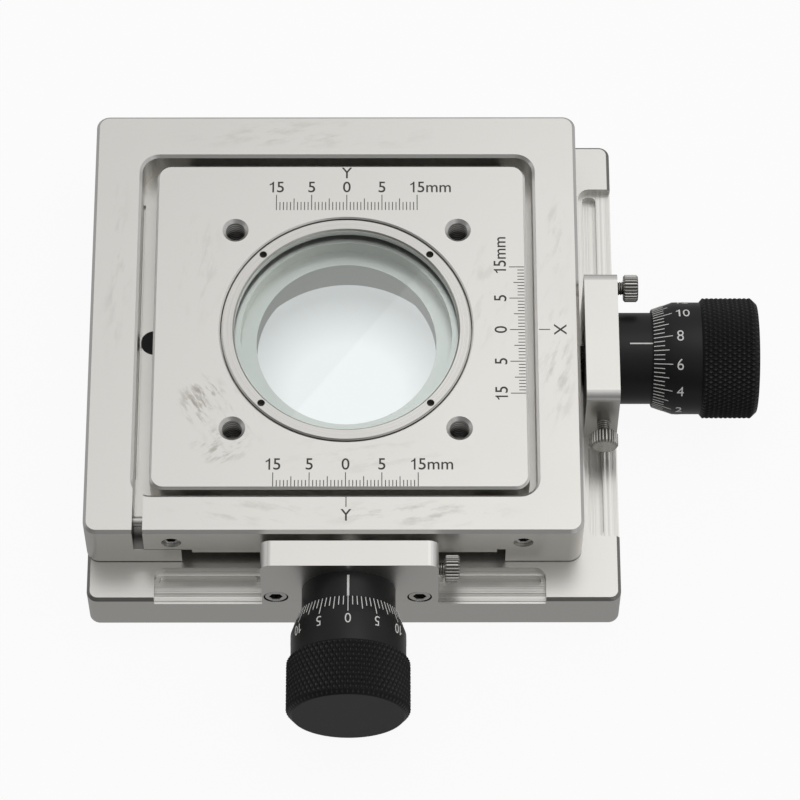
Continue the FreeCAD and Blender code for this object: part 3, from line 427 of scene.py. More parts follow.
def tapped_holes(place, colour, normal):
    """Screw threads bumped into the plate's four holes, with painted shade in their roots and a
    painted shadow that deepens towards the bottom.
    """
    x, y, z = split(place)
    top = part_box("centre_plate")[1].z / MM
    off_x = abs(x) - BOLTS["spacing_x_mm"] / 2
    off_y = abs(y) - BOLTS["spacing_y_mm"] / 2
    hole = hypot(off_x, off_y) < TAP
    turn = off_x.math("ARCTAN2", off_y, off_x) / math.tau
    wall = hole * (z < top - CHAMFER)
    thread = (z / TAP_PITCH + turn).wave(0.5) * wall
    # Painted shade in the thread roots.
    colour = blend(wall * (1 - thread) * 0.9, colour, PAINTED_THREAD_SHADE)
    # Painted shadow, deeper down the hole.
    deep = ((top - SHADOW_START - z) / SHADOW_LENGTH).held() * hole
    return blend(deep * 0.9, colour, PAINTED_HOLE_SHADOW), bump(thread, 0.6, normal)


def milled_pockets(place, normal):
    """The cutter's passes along the base's two relief pockets."""
    x, y, z = split(place)
    front = (y < RELIEF_FRONT) * (z < RELIEF_TOP)
    side = (x > RELIEF_SIDE) * (z < RELIEF_TOP)
    cusps = stripes(y, 0.9, 2.0) * front + stripes(x, 0.9, 2.0) * side * (1 - front)
    return bump(cusps, 0.16, normal)


def nickel(name, scuffs=(), work=""):
    """Satin nickel with clouds, grain, a painted highlight on its bevels, handling marks and one
    kind of work: painted shade in the slit, tapped holes with painted shade, or milled pockets
    with painted shade on the base's low bevels.
    """
    finish = bpy.context.scene.stage_finish
    material, place = new_material(name)
    x, y, z = split(place)
    clouds = noise(place, 0.045, 3)
    grain = noise(place, 5.0, 2)
    brushed = noise(place, 1.6, 3, stretch=(0.12, 1, 1))
    marks = handling_marks(place, scuffs)
    colour = shaded(clouds, finish.nickel, 0.965, 1.035)
    colour = blend(marks, colour, tuple(finish.scuff))
    facing = node(place.tree, "ShaderNodeTexCoord", output=1)
    edge = between(split(facing)[2], *BEVELS)
    # On the base, bevels below the ledge get painted shade in place of the painted highlight.
    if work == "milling":
        colour = blend(edge * (z < LEDGE) * 0.7, colour, PAINTED_EDGE_SHADE)
        edge = edge * (z > LEDGE)
    # Painted highlight on the remaining bevels.
    colour = blend(edge * 0.7, colour, PAINTED_EDGE_HIGHLIGHT)
    rough = finish.nickel_roughness + (clouds - 0.5) * 0.12 + (grain - 0.5) * 0.08 + marks * 0.1
    normal = bump(brushed, 0.006, bump(grain, 0.0025))
    if work == "threads":
        colour, normal = tapped_holes(place, colour, normal)
    if work == "slit":
        inside = between(x, *SLIT_X) * between(y, *SLIT_Y) * (z < SLIT_TOP)
        colour = blend(inside * 0.8, colour, SLIT_SHADE)
    if work == "milling":
        normal = milled_pockets(place, normal)
    return surface(material, {
        "Base Color": colour, "Metallic": 1.0, "Roughness": rough, "Normal": normal})


def turned_nickel(name):
    """Nickel with the fine rings that a lathe leaves about the aperture, and painted shade in its
    notches.
    """
    material, place = new_material(name)
    x, y, z = split(place)
    radius = hypot(x, y)
    rings = stripes(radius * 3.1 + z * 2.3, 1.0, 3.0)
    clouds = noise(place, 0.06, 2)
    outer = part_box("retaining_ring")[1] / MM
    notch = (z < outer.z - 0.25) * between(radius, 24.1, outer.x - 0.1)
    colour = shaded(rings, bpy.context.scene.stage_finish.nickel, 0.8, 0.96)
    # Painted shade in the notches.
    colour = blend(notch * 0.8, colour, NOTCH_SHADE)
    rough = 0.3 + (clouds - 0.5) * 0.1 + (rings - 0.5) * 0.15
    return surface(material, {
        "Base Color": colour, "Metallic": 1.0, "Roughness": rough, "Normal": bump(rings, 0.02)})


def bright_steel(name):
    """Bright steel, rougher and with painted shade in the roots of its knurls and threads."""
    material, place = new_material(name)
    grain = noise(place, 3.0, 3)
    root = stored(place.tree, "root")
    colour = shaded(grain, bpy.context.scene.stage_finish.steel, 0.9, 1.08)
    # Painted shade in the roots.
    colour = blend((root * 0.95).least(1.0), colour, PAINTED_STEEL_ROOT_SHADE)
    rough = 0.27 + (grain - 0.5) * 0.12 + root * 0.2
    return surface(material, {
        "Base Color": colour, "Metallic": 1.0, "Roughness": rough, "Normal": bump(grain, 0.002)})


def black_finish(name, lightness, roughness):
    """Matt black anodising or oxide, lighter on its crests for wear and a painted highlight, with
    painted shade in its roots.
    """
    material, place = new_material(name)
    clouds = noise(place, 0.2, 3)
    grain = noise(place, 9.0, 2)
    root = stored(place.tree, "root")
    # Lighter crests: wear, and a painted highlight.
    wear_and_highlight = (stored(place.tree, "crest") - 0.75).most(0.0) * 4 * (0.4 + clouds)
    black = [c * lightness for c in bpy.context.scene.stage_finish.anodised]
    colour = shaded(clouds, black, 0.8, 1.25)
    colour = blend((wear_and_highlight * 0.6).least(1.0), colour, CREST_WEAR_AND_HIGHLIGHT)
    # Painted shade in the roots.
    colour = blend(root, colour, PAINTED_BLACK_ROOT_SHADE)
    rough = roughness + (clouds - 0.5) * 0.1 + (grain - 0.5) * 0.1 + root * 0.3 - wear_and_highlight * 0.08
    return surface(material, {
        "Base Color": colour, "Roughness": rough, "IOR": 1.38, "Normal": bump(grain, 0.003)})


def paint(name, colour, roughness):
    """A filled mark, slightly uneven in its groove."""
    material, place = new_material(name)
    grain = noise(place, 2.5, 3)
    return surface(material, {
        "Base Color": shaded(grain, colour, 0.82, 1.12),
        "Roughness": roughness + (grain - 0.5) * 0.2, "Normal": bump(grain, 0.004)})


def clear_glass(name):
    """Polished plate glass with a faint tint and a trace of dust."""
    material, place = new_material(name)
    dust = noise(place, 0.8, 4)
    rough = ((dust - 0.62).most(0.0) * 0.12).least(0.05)
    return surface(material, {
        "Base Color": (*bpy.context.scene.stage_finish.glass, 1), "Roughness": rough,
        "IOR": 1.5, "Transmission Weight": 1.0})


def finish_named(name):
    """A finish of the stage, made on its first use."""
    made = bpy.data.materials.get(name)
    if made:
        return made
    finish = bpy.context.scene.stage_finish
    maker, *values = {
        "frame nickel": (nickel, SCUFFS_FRAME, "slit"),
        "plate nickel": (nickel, SCUFFS_PLATE, "threads"),
        "base nickel": (nickel, (), "milling"),
        "slide nickel": (nickel,),
        "turned nickel": (turned_nickel,),
        "bright steel": (bright_steel,),
        "black anodising": (black_finish, 1.0, 0.36),
        # A lighter copy of the anodising: a painted reflection on the thimbles' end faces.
        "faced anodising": (black_finish, 3.2, 0.5),
        # Black oxide on the ledge screw, and painted shade inside the sockets.
        "black oxide": (black_finish, 0.9, 0.55),
        "white fill": (paint, finish.enamel, 0.5),
        "engraving": (paint, finish.engraving, 0.7),
        "window glass": (clear_glass,),
    }[name]
    return maker(name, *values)


# ---- shapes

ONE_WIDTH = 0.62  # the space that a figure 1 takes, in letter heights


def body_of(part):
    """The body that a CAD node rides on."""
    return next(name for name, parts in BODIES.items() if part in parts)


def coat(part, finish):
    """Gives a CAD node its finish."""
    for slot in NODES[part].material_slots:
        slot.material = finish_named(finish)


def add_piece(name, mesh, part, replaces=False):
    """Adds a finished mesh, already in place, to a CAD node's body, or instead of the node."""
    piece = new_object(name, mesh)
    mesh.name = name
    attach(piece, body_of(part))
    if replaces:
        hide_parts(part)


@contextmanager
def edited(mesh):
    """A mesh opened for editing, and written back at the end."""
    shape = bmesh.new()
    shape.from_mesh(mesh)
    yield shape
    shape.to_mesh(mesh)
    shape.free()


def joined(meshes, finishes=()):
    """One mesh from several."""
    whole = bpy.data.meshes.new("joined")
    with edited(whole) as shape:
        for mesh in meshes:
            shape.from_mesh(mesh)
    for finish in finishes:
        whole.materials.append(finish_named(finish))
    return whole


def seat(part, outward):
    """A level part's inner end on its axis, and its length and radius in millimetres."""
    lo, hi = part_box(part)
    middle = (lo + hi) / 2
    if outward[0]:
        start, length = Vector((lo.x, middle.y, middle.z)), hi.x - lo.x
    else:
        start, length = Vector((middle.x, hi.y, middle.z)), hi.y - lo.y
    return start, length / MM, (hi.z - lo.z) / 2 / MM


def around(along, reach, angle):
    """A point at an angle from the top of a shape that lies along X."""
    return along, reach * math.sin(angle), reach * math.cos(angle)


def ramp(start, end, steps):
    """Rings from one place on a profile to another, the first left out."""
    return [tuple(a + (b - a) * i / steps for a, b in zip(start, end))
            for i in range(1, steps + 1)]


def turned_mesh(profile, segments):
    """A closed turned shape about X, from places and radii in millimetres. A third number makes
    a ring a polygon of so many flats."""
    points, rings, faces = [], [], []
    for along, radius, *polygon in profile:
        along, radius, first = along * MM, radius * MM, len(points)
        for step in range(segments if radius else 1):
            turn = math.tau * step / segments
            reach = radius
            if polygon:
                sector = math.tau / polygon[0]
                reach = radius / math.cos((turn % sector) - sector / 2)
            points.append((along, reach * math.cos(turn), reach * math.sin(turn)))
        rings.append(range(first, len(points)))
    for low, high in zip(rings, rings[1:]):
        for step in range(segments):
            corners = ((low, step), (high, step), (high, step + 1), (low, step + 1))
            faces.append(tuple(dict.fromkeys(ring[at % len(ring)] for ring, at in corners)))
    mesh = bpy.data.meshes.new("turned")
    mesh.from_pydata(points, [], faces)
    with edited(mesh) as shape:
        bmesh.ops.recalc_face_normals(shape, faces=shape.faces)
    return mesh


def soften(mesh, angle=32):
    """Smooth shading with the sharp edges kept."""
    mesh.polygons.foreach_set("use_smooth", [True] * len(mesh.polygons))
    mesh.set_sharp_from_angle(angle=math.radians(angle))


def flagged_one(height, thickness):
    """The figure 1 with its flag, which the built-in letters lack."""
    outline = ((0.24, 0), (0.375, 0), (0.375, 1), (0.29, 1), (0.2, 0.86), (0.02, 0.77),
               (0.02, 0.65), (0.24, 0.75))
    mesh = bpy.data.meshes.new("one")
    with edited(mesh) as shape:
        face = shape.faces.new([shape.verts.new((x * height, y * height, 0))
                                for x, y in outline])
        for item in bmesh.ops.extrude_face_region(shape, geom=[face])["geom"]:
            if isinstance(item, bmesh.types.BMVert):
                item.co.z = thickness
        bmesh.ops.recalc_face_normals(shape, faces=shape.faces)
    return mesh


def lettering(text, height, width_scale, thickness, ink=-0.006):
    """Flat figures and their width, their foot and left side at zero, scaled to a height."""
    if text[0] == "1":
        step = height * ONE_WIDTH
        one = flagged_one(height, thickness)
        rest, width = lettering(text[1:], height, width_scale, thickness, ink)
        rest.transform(Matrix.Translation((step, 0, 0)))
        return joined([one, rest]), width + step
    curve = bpy.data.curves.new("lettering", "FONT")
    curve.body = text
    curve.extrude = 0.5
    curve.offset = ink
    curve.resolution_u = 6
    mesh = plain_mesh(new_object("lettering", curve))
    low, high = (Vector(pick(v.co[i] for v in mesh.vertices) for i in range(3))
                 for pick in (min, max))
    grow = height / (high.y - low.y)
    mesh.transform(Matrix.Translation(-low))
    mesh.transform(Matrix.Diagonal((grow * width_scale, grow, thickness / (high.z - low.z), 1)))
    with edited(mesh) as shape:
        bmesh.ops.remove_doubles(shape, verts=shape.verts, dist=1e-7)
        bmesh.ops.recalc_face_normals(shape, faces=shape.faces)
    return mesh, (high.x - low.x) * grow * width_scale


def sliced(mesh, axis, step):
    """Cuts the mesh across one axis, so that it can follow a round surface."""
    across = Vector((0, 0, 0))
    across[axis] = 1
    with edited(mesh) as shape:
        low = min(v.co[axis] for v in shape.verts)
        high = max(v.co[axis] for v in shape.verts)
        for number in range(1, int((high - low) / step) + 1):
            everything = shape.verts[:] + shape.edges[:] + shape.faces[:]
            bmesh.ops.bisect_plane(shape, geom=everything, dist=1e-8,
                                   plane_co=across * (low + number * step), plane_no=across)


def scale_row(finish, count, pitch, base, reach, width, thickness, every=(1, 1)):
    """A row of graduation lines; reach holds the plain, medium and long lines' ends."""
    return grown(bpy.data.node_groups.get("Scale lines") or scale_lines_tree(), {
        "Count": count, "Pitch": pitch, "Base": base, "Short": reach[0], "Medium": reach[1],
        "Long": reach[2], "Medium every": every[0], "Long every": every[1], "Width": width,
        "Thickness": thickness, "Finish": finish_named(finish)})


def ridged(mesh, finish, starts, rises, radius, depth, flat, start, end):
    """The mesh with grooves of two hands cut into it between two places along X."""
    return grown(bpy.data.node_groups.get("Cut ridges") or cut_ridges_tree(), {
        "Radius": radius, "Depth": depth, "Starts": float(starts), "Rise": rises[0],
        "Second rise": rises[1], "Flat": flat, "Start": start, "End": end,
        "Finish": finish_named(finish)}, mesh)


def heading_matrix(place, outward):
    """Puts a shape made about +X at a place, pointing outward along a level direction."""
    turn = math.atan2(outward[1], outward[0])
    return Matrix.Translation(place) @ Matrix.Rotation(turn, 4, "Z")


# ---- operators

# Lamps: place and side in metres, power in watts.
LAMPS = (("overhead", (0.25, 0.25, 0.95), 0.7, 0.78), ("left window", (-0.9, 0.1, 0.5), 0.5, 0.4),
         ("front fill", (0.5, -0.8, 0.6), 0.5, 0.2))
SKY = ((0.0, 0.15), (0.5, 0.4), (0.8, 0.62), (1.0, 1.02))  # greys from straight down to up
SKY_MIDDLE, SKY_BACK, SKY_RIGHT, SKY_LIMITS = 0.74, 0.44, 0.3, (0.25, 1.15)
FLOOR_REACH, FLOOR_LEVEL = 4.0, -0.05 * MM
FLOOR_SEEN = 0.93  # how far the floor is plain white to the camera
# Through the window the floor shows a painted pool of light that fades into painted shadow. The
# first three are in millimetres.
POOL_FORWARD, POOL_RADIUS, POOL_FADE, POOL_LIT, POOL_LOSS = 3.0, 12.0, 12.0, 0.86, 0.34


class STAGE_OT_studio(bpy.types.Operator):
    """Camera, floor, world and soft lamps"""

    bl_idname = "xystage.studio"
    bl_label = "Studio"

    def execute(self, context):
        studio = context.scene.stage_studio
        data = bpy.data.cameras.new("camera")
        data.lens, data.sensor_width = studio.lens, 36
        camera = new_object("camera", data)
        camera.matrix_world = (
            Matrix.Translation(studio.camera) @ Matrix.Rotation(-studio.heading, 4, "Z")
            @ Matrix.Rotation(math.pi / 2 - studio.tilt, 4, "X")
            @ Matrix.Rotation(studio.roll, 4, "Z"))
        context.scene.camera = camera
        context.scene.view_settings.view_transform = "Standard"

        mesh = bpy.data.meshes.new("floor")
        mesh.from_pydata([(x * FLOOR_REACH, y * FLOOR_REACH, FLOOR_LEVEL)
                          for x, y in ((-1, -1), (1, -1), (1, 1), (-1, 1))], [], [(0, 1, 2, 3)])
        new_object("floor", mesh)
        mesh.materials.append(self.floor_material(studio))
        context.scene.world = self.sky()
        for name, place, size, power in LAMPS:
            lamp = bpy.data.lights.new(name, "AREA")
            lamp.size, lamp.energy = size, power
            light = new_object(name, lamp)
            light.location = place
            light.rotation_euler = (-Vector(place)).to_track_quat("-Z", "Y").to_euler()
            light.visible_camera = False
        return {"FINISHED"}

    def floor_material(self, studio):
        """White to the camera, dimmer in the metal, and cloth to all other rays."""
        material, place = new_material("floor")
        tree = place.tree
        rays = node(tree, "ShaderNodeLightPath")
        ray = {out.name: Wire(tree, out) for out in rays.socket.node.outputs}
        cloth = node(tree, "ShaderNodeBsdfDiffuse", {}, {"Color": (*studio.floor, 1)})
        white, grey = (
            node(tree, "ShaderNodeEmission", {}, {"Color": (1, 1, 1, 1), "Strength": strength})
            for strength in (1.0, studio.floor_in_metal))
        across, along, _ = split(place)
        # Painted pool of light on the floor, fading into painted shadow, for rays through the
        # glass.
        off = hypot(across, along + POOL_FORWARD)
        lit = POOL_LIT - ((off - POOL_RADIUS) / POOL_FADE).held() * POOL_LOSS
        seen = (ray["Is Camera Ray"] * FLOOR_SEEN).most(ray["Is Transmission Ray"] * lit)
        shade = node(tree, "ShaderNodeMixShader", {}, [seen, cloth, white])
        mirrored = ray["Is Glossy Ray"] * (1 - ray["Is Transmission Ray"])
        shade = node(tree, "ShaderNodeMixShader", {}, [mirrored, shade, grey])
        node(tree, "ShaderNodeOutputMaterial", {}, [shade])
        return material

    def sky(self):
        """A grey sky, brighter above, behind and to the right, and white to the camera."""
        world = bpy.data.worlds.new("studio")
        world.use_nodes = True
        tree = world.node_tree
        tree.nodes.clear()
        right, back, up = split(node(tree, "ShaderNodeTexCoord", output=0))
        grey = node(tree, "ShaderNodeValToRGB", {"stops": SKY}, [up * 0.5 + 0.5])
        side = (SKY_MIDDLE + back * SKY_BACK + right * SKY_RIGHT).held(*SKY_LIMITS)
        seen = node(tree, "ShaderNodeLightPath")
        light = node(tree, "ShaderNodeBackground", {}, {
            "Color": blend(seen, grey, (1, 1, 1)), "Strength": side + (1 - side) * seen})
        node(tree, "ShaderNodeOutputWorld", {}, [light])
        return world


class STAGE_OT_plates(bpy.types.Operator):
    """Satin nickel on the base, the slides and their guides"""

    bl_idname = "xystage.plates"
    bl_label = "Plates and guides"

    def execute(self, context):
        coat("base_plate", "base nickel")
        coat("frame_plate", "frame nickel")
        coat("centre_plate", "plate nickel")
        for part in ("y_slide_block", "y_rail_left", "y_rail_right", "x_guide_keys_front",
                     "x_guide_key_rear", "y_push_pad", "y_keeper_plate"):
            coat(part, "slide nickel")
        return {"FINISHED"}


class STAGE_OT_window(bpy.types.Operator):
    """Glass window and the ring that holds it"""

    bl_idname = "xystage.window"
    bl_label = "Window"

    def execute(self, context):
        coat("retaining_ring", "turned nickel")
        lo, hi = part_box("glass_window")
        clear, bevel = 0.02, 0.5  # clear of the ledge, whose plane it would share
        radius = min(hi.x, -lo.x) / MM - clear
        low, high = lo.z / MM + clear, hi.z / MM - clear
        shape = [(low, 0), (low, radius - bevel), (low + bevel, radius),
                 (high - bevel, radius), (high, radius - bevel), (high, 0)]
        glass = turned_mesh(shape, 180)
        glass.transform(Matrix.Rotation(-math.pi / 2, 4, "Y"))
        glass.materials.append(finish_named("window glass"))
        soften(glass)
        add_piece("window_bevelled", glass, "glass_window", True)
        return {"FINISHED"}


class STAGE_OT_sleeves(bpy.types.Operator):
    """Black sleeves with their index lines, and the spindles"""

    bl_idname = "xystage.sleeves"
    bl_label = "Sleeves and spindles"

    def execute(self, context):
        heads = context.scene.stage_heads
        turns, widths = {"x": heads.x_index, "y": 0.0}, {"x": 0.3, "y": 0.46}
        for label, outward in HEADS:
            coat(label + "_sleeve", "black anodising")
            coat(label + "_spindle", "bright steel")
            edge = seat(label + "_thimble", outward)[0]
            radius = seat(label + "_sleeve", outward)[2] * MM
            line = scale_row("white fill", 1, MM, -4.9 * MM, [0.2 * MM] * 3,
                             widths[label] * MM, 0.08 * MM)
            for vertex in line.vertices:
                side, along, rise = vertex.co
                vertex.co = around(along, radius + rise, turns[label] + side / radius)
            line.transform(heading_matrix(edge, outward))
            add_piece(label + "_index_line", line, label + "_sleeve")
        return {"FINISHED"}


class STAGE_OT_thimbles(bpy.types.Operator):
    """Diamond-knurled thimbles with their graduations and figures"""

    bl_idname = "xystage.thimbles"
    bl_label = "Thimbles"

    # Radii in millimetres, then places along the axis.
    EDGE, BARREL, GRIP, FACE, SKIRT = 10.4, 11.95, 12.85, 11.6, 9.82
    CONE, BORE, GRIP_START, GRIP_END, CORNER, TRIM = 4.5, 10.9, 11.0, 21.15, 0.12, 0.1
    LINES = (2.4, 3.3, 4.05)  # where a plain, a medium and a long line end
    LONG = 6  # divisions from one long line and its figure to the next
    # Each head's figures: their place along the axis, height and step in value.
    FIGURES = {"x": (4.95, 2.4, 2), "y": (4.65, 2.1, 5)}
    X_LINE = 24  # the X head's line for its 8, one line past the index

    def skin(self, along):
        """The thimble's outside radius where it carries marks."""
        share = min(max(along / (self.CONE * MM), 0), 1)
        return (self.EDGE + (self.BARREL - self.EDGE) * share) * MM

    def profile(self, length):
        """The outline from the bore round to the outer face, with rings for the knurl."""
        corner, trim = self.CORNER, self.TRIM
        shoulder, grip = (self.GRIP_START - 0.75, self.BARREL), (self.GRIP_START, self.GRIP)
        end = (self.GRIP_END, self.GRIP)
        return [(self.BORE, 0), (self.BORE, self.SKIRT), (trim, self.SKIRT),
                (0, self.SKIRT + trim), (0, self.EDGE - corner), (trim, self.EDGE),
                *ramp((trim, self.EDGE), (self.CONE, self.BARREL), 3), shoulder,
                *ramp(shoulder, grip, 6), *ramp(grip, end, 46),
                *ramp(end, (length - corner, self.FACE + corner), 7),
                (length, self.FACE), (length, self.FACE - 0.6), (length, 0)]

    def execute(self, context):
        heads = context.scene.stage_heads
        rise = heads.starts * math.tan(heads.helix) / (math.tau * self.GRIP * MM)
        for label, outward in HEADS:
            part = label + "_thimble"
            edge, length, _ = seat(part, outward)
            blank = turned_mesh(self.profile(length), heads.starts * 8)
            knob = ridged(blank, "black anodising", heads.starts, (rise, -rise), self.GRIP * MM,
                          heads.knurl_depth, 0.14, (self.GRIP_START - 0.7) * MM,
                          (length - 0.2) * MM)
            place = heading_matrix(edge, outward)
            knob.transform(place)
            soften(knob, 24)
            # The outer end face takes the lighter black, a painted reflection.
            knob.materials.append(finish_named("faced anodising"))
            away = Vector((*outward, 0))
            rim = edge + away * (length - 0.05) * MM
            for face in knob.polygons:
                if (face.center - rim).dot(away) > 0:
                    face.material_index = 1
            add_piece(label + "_thimble_knurled", knob, part, True)
            marks = joined([self.lines(heads, label), *self.figures(heads, label)],
                           ["white fill"])
            marks.transform(place)
            add_piece(label + "_thimble_marks", marks, part)
        return {"FINISHED"}

    def zero(self, heads, label):
        """The angle of the thimble's zero line from the top."""
        step = math.tau / heads.divisions
        return heads.x_index + step - self.X_LINE * step if label == "x" else 0.0

    def lines(self, heads, label):
        """The graduation lines, laid round the edge."""
        middle = self.skin(self.CONE * MM / 2)
        row = scale_row("white fill", heads.divisions, math.tau / heads.divisions * middle,
                        0.12 * MM, [reach * MM for reach in self.LINES], heads.line_width,
                        0.09 * MM, (self.LONG // 2, self.LONG))
        for vertex in row.vertices:
            side, along, up = vertex.co
            vertex.co = around(along, self.skin(along) + up,
                               self.zero(heads, label) + side / middle)
        return row

    def figures(self, heads, label):
        """The figures, upright along the X head's axis and across the Y head's."""
        inset, height, value_step = self.FIGURES[label]
        height *= MM
        count = heads.divisions // self.LONG
        for number in range(count):
            value = value_step * (number if label == "x" else min(number, count - number))
            middle = self.zero(heads, label) + math.tau * number / count
            mesh, width = lettering(str(value), height, 0.95, 0.14 * MM)
            sliced(mesh, 1 if label == "x" else 0, 0.35 * MM)
            for vertex in mesh.vertices:
                across, up, out = vertex.co
                along, side = (across, up - height / 2) if label == "x" else \
                    (up, width / 2 - across)
                vertex.co = around(inset * MM + along, self.BARREL * MM + out - 0.1 * MM,
                                   middle + side / (self.BARREL * MM))
            yield mesh


class STAGE_OT_lock_screws(bpy.types.Operator):
    """Knurled lock screws with their threaded shanks"""

    bl_idname = "xystage.lock_screws"
    bl_label = "Lock screws"

    HEAD, SHANK, BEVEL, RIDGES, PITCH = 3.1, 1.45, 0.35, 24, 0.5
    # Each screw's way out, and how far its shank stands clear of the metal.
    SCREWS = (("x_lock_screw", (0, -1), 2.6), ("y_lock_screw", (1, 0), 1.3),
              ("x_clamp_screw", (1, 0), 1.4))

    def execute(self, context):
        for part, outward, clear in self.SCREWS:
            start, length, radius = seat(part, outward)
            neck = length - self.HEAD
            thread = neck - clear - 1.0
            rim = radius - self.BEVEL
            rings = int((neck - thread) / self.PITCH * 7)
            shape = [(0, 0), (0, self.SHANK - 0.3), (0.3, self.SHANK), (thread, self.SHANK),
                     *ramp((thread, self.SHANK), (neck - 0.05, self.SHANK), rings), (neck, rim),
                     *ramp((neck, rim), (neck + self.BEVEL, radius), 3),
                     (length - self.BEVEL, radius),
                     *ramp((length - self.BEVEL, radius), (length, rim), 3),
                     (length, rim - 0.5), (length, 0)]
            blank = turned_mesh(shape, self.RIDGES * 8)
            rise = 1 / (self.PITCH * MM)
            screw = ridged(blank, "bright steel", self.RIDGES, (0.0, 0.0), radius * MM,
                           0.34 * MM, 0.3, (neck - 0.01) * MM, (length + 1) * MM)
            screw = ridged(screw, "bright steel", 1, (rise, rise), self.SHANK * MM,
                           0.26 * MM, 0.15, thread * MM, (neck - 0.06) * MM)
            screw.transform(heading_matrix(start, outward))
            soften(screw, 28)
            add_piece(part + "_knurled", screw, part, True)
        return {"FINISHED"}


class STAGE_OT_socket_screws(bpy.types.Operator):
    """Hexagon socket screws of the front lug and the frame, and the hidden fasteners"""

    bl_idname = "xystage.socket_screws"
    bl_label = "Socket screws"

    # Each part's head length, shank radius, and the socket's half width and depth, in mm.
    SCREWS = (("lug_cap_screws", 3.15, 1.5, 1.25, 1.5), ("frame_stop_screws", 1.0, 2.0, 1.05, 2.0))

    def screw(self, head, shank, head_long, length, key, deep):
        """A socket screw about +X, its face at the outward end."""
        neck, floor = length - head_long, length - deep
        shape = [(0, 0), (0, shank - 0.2), (0.2, shank), (neck, shank)]
        if head > shank:
            shape += [(neck, head - 0.1), (neck + 0.1, head)]
        shape += [(length - 0.28, head), (length - 0.08, head - 0.1), (length, head - 0.3),
                  (length, key + 0.12, 6), (length - 0.12, key, 6), (floor, key, 6),
                  (floor - 0.4, 0)]
        mesh = turned_mesh(shape, 72)
        # The socket's inside takes the black finish as painted shade.
        for face in mesh.polygons:
            along, across = face.center.x / MM, math.hypot(*face.center.yz) / MM
            if floor - 0.5 < along < length - 0.1 and across < key + 0.1:
                face.material_index = 1
        return mesh

    def execute(self, context):
        for part, head_long, shank, key, deep in self.SCREWS:
            lo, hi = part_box(part)
            head = (hi.z - lo.z) / 2
            meshes = []
            for across in (lo.x + head, hi.x - head):
                mesh = self.screw(head / MM, shank, head_long, (hi.y - lo.y) / MM, key, deep)
                place = Vector((across, hi.y, (lo.z + hi.z) / 2))
                mesh.transform(heading_matrix(place, (0, -1)))
                meshes.append(mesh)
            whole = joined(meshes, ["bright steel", "black oxide"])
            soften(whole)
            add_piece(part + "_hexed", whole, part, True)
        for part in ("x_key_screws", "y_rail_screws", "slide_block_screws", "slit_clamp_screw",
                     "x_contact_button"):
            coat(part, "bright steel")
        coat("ledge_screw", "black oxide")
        return {"FINISHED"}


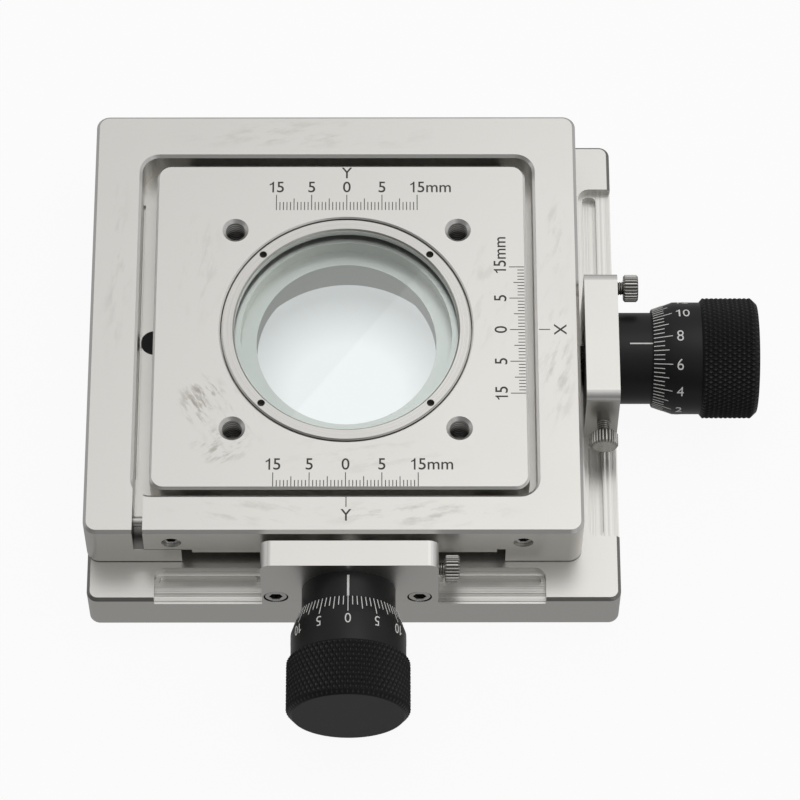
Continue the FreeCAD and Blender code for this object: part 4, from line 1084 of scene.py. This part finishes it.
class STAGE_OT_plate_scales(bpy.types.Operator):
    """Engraved millimetre scales, index lines and axis letters"""

    bl_idname = "xystage.plate_scales"
    bl_label = "Plate scales"

    RISE = 0.03 * MM  # thickness of the engraving's filling
    FLAT = 0.52 * MM  # the plate's edge, which the lines keep off
    INDEX, INDEX_WIDTH = 2.35 * MM, 0.2 * MM
    FIGURES = ((-20, "15"), (-10, "5"), (0, "0"), (10, "5"), (20, "15mm"))

    def caption(self, scales, text, middle, foot, width_scale=0.95, ink=0.004):
        """Figures or a letter, centred on a place; a unit after the figure 15 doesn't count."""
        mesh, width = lettering(text, scales.letter, width_scale, self.RISE, ink)
        if text == "15mm":
            width = lettering("15", scales.letter, width_scale, self.RISE)[1]
        mesh.transform(Matrix.Translation((middle - width / 2, foot, -self.RISE / 2)))
        return mesh

    def scale(self, scales, base, letter):
        """A scale along X with its lines rising from zero, and its figures above them."""
        row = scale_row("engraving", 41, scales.pitch, base,
                        (scales.short, scales.medium, scales.long), scales.width, self.RISE,
                        (5, 10))
        row.transform(Matrix.Translation((-20 * scales.pitch, 0, 0)))
        foot = scales.long + 0.62 * MM
        meshes = [row]
        for number, text in self.FIGURES:
            meshes.append(
                self.caption(scales, text, number * scales.pitch, foot, 0.98, 0.006))
        if letter:
            meshes.append(self.caption(scales, letter, 0, foot + scales.letter + 0.85 * MM))
        return joined(meshes, ["engraving"])

    def index(self, scales, letter, foot):
        """The frame's index line and its axis letter."""
        line = scale_row("engraving", 1, MM, 0.0, [self.INDEX] * 3, self.INDEX_WIDTH, self.RISE)
        return joined([line, self.caption(scales, letter, 0, foot)], ["engraving"])

    def execute(self, context):
        scales = context.scene.stage_scales
        lo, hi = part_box("centre_plate")
        quarter = Matrix.Rotation(math.pi / 2, 4, "Z")
        whole = Matrix.Identity(4)
        for name, base, letter, x, y, turn in (
                ("y_scale_rear", 0.0, "Y", 0, 28.73 * MM, whole),
                ("y_scale_front", self.FLAT, "", 0, lo.y, whole),
                ("x_scale", self.FLAT, "", hi.x, -0.4 * MM, quarter)):
            mesh = self.scale(scales, base, letter)
            mesh.transform(Matrix.Translation((x, y, hi.z)) @ turn)
            add_piece(name, mesh, "centre_plate")
        for name, letter, foot, x, y, turn in (
                ("y_index", "Y", -0.5 * MM - scales.letter, 0.13, -42.0, whole),
                ("x_index", "X", 3.2 * MM, 40.86, -0.38, quarter.inverted())):
            mesh = self.index(scales, letter, foot)
            mesh.transform(Matrix.Translation((x * MM, y * MM, hi.z)) @ turn)
            add_piece(name, mesh, "frame_plate")
        return {"FINISHED"}


OPERATORS = (
    STAGE_OT_studio, STAGE_OT_plates, STAGE_OT_window, STAGE_OT_sleeves, STAGE_OT_thimbles,
    STAGE_OT_lock_screws, STAGE_OT_socket_screws, STAGE_OT_plate_scales)


class STAGE_PT_panel(bpy.types.Panel):
    """Lists the pieces of the stage"""

    bl_idname = "STAGE_PT_panel"
    bl_label = "XY stage"
    bl_space_type = "VIEW_3D"
    bl_region_type = "UI"
    bl_category = "XY Stage"

    def draw(self, context):
        for operator in OPERATORS:
            self.layout.operator(operator.bl_idname)
        for name, group in SETTINGS.items():
            box = self.layout.box()
            for label in group.__annotations__:
                box.prop(getattr(context.scene, name), label)


CLASSES = (*SETTINGS.values(), *OPERATORS, STAGE_PT_panel)


def register():
    for item in CLASSES:
        bpy.utils.register_class(item)
    for name, group in SETTINGS.items():
        setattr(bpy.types.Scene, name, bpy.props.PointerProperty(type=group))


def unregister():
    for name in SETTINGS:
        delattr(bpy.types.Scene, name)
    for item in reversed(CLASSES):
        bpy.utils.unregister_class(item)


def main():
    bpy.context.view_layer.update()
    register()
    bpy.ops.xystage.studio()
    bpy.ops.xystage.plates()
    bpy.ops.xystage.window()
    bpy.ops.xystage.sleeves()
    bpy.ops.xystage.thimbles()
    bpy.ops.xystage.lock_screws()
    bpy.ops.xystage.socket_screws()
    bpy.ops.xystage.plate_scales()


if __name__ == "__main__":
    main()
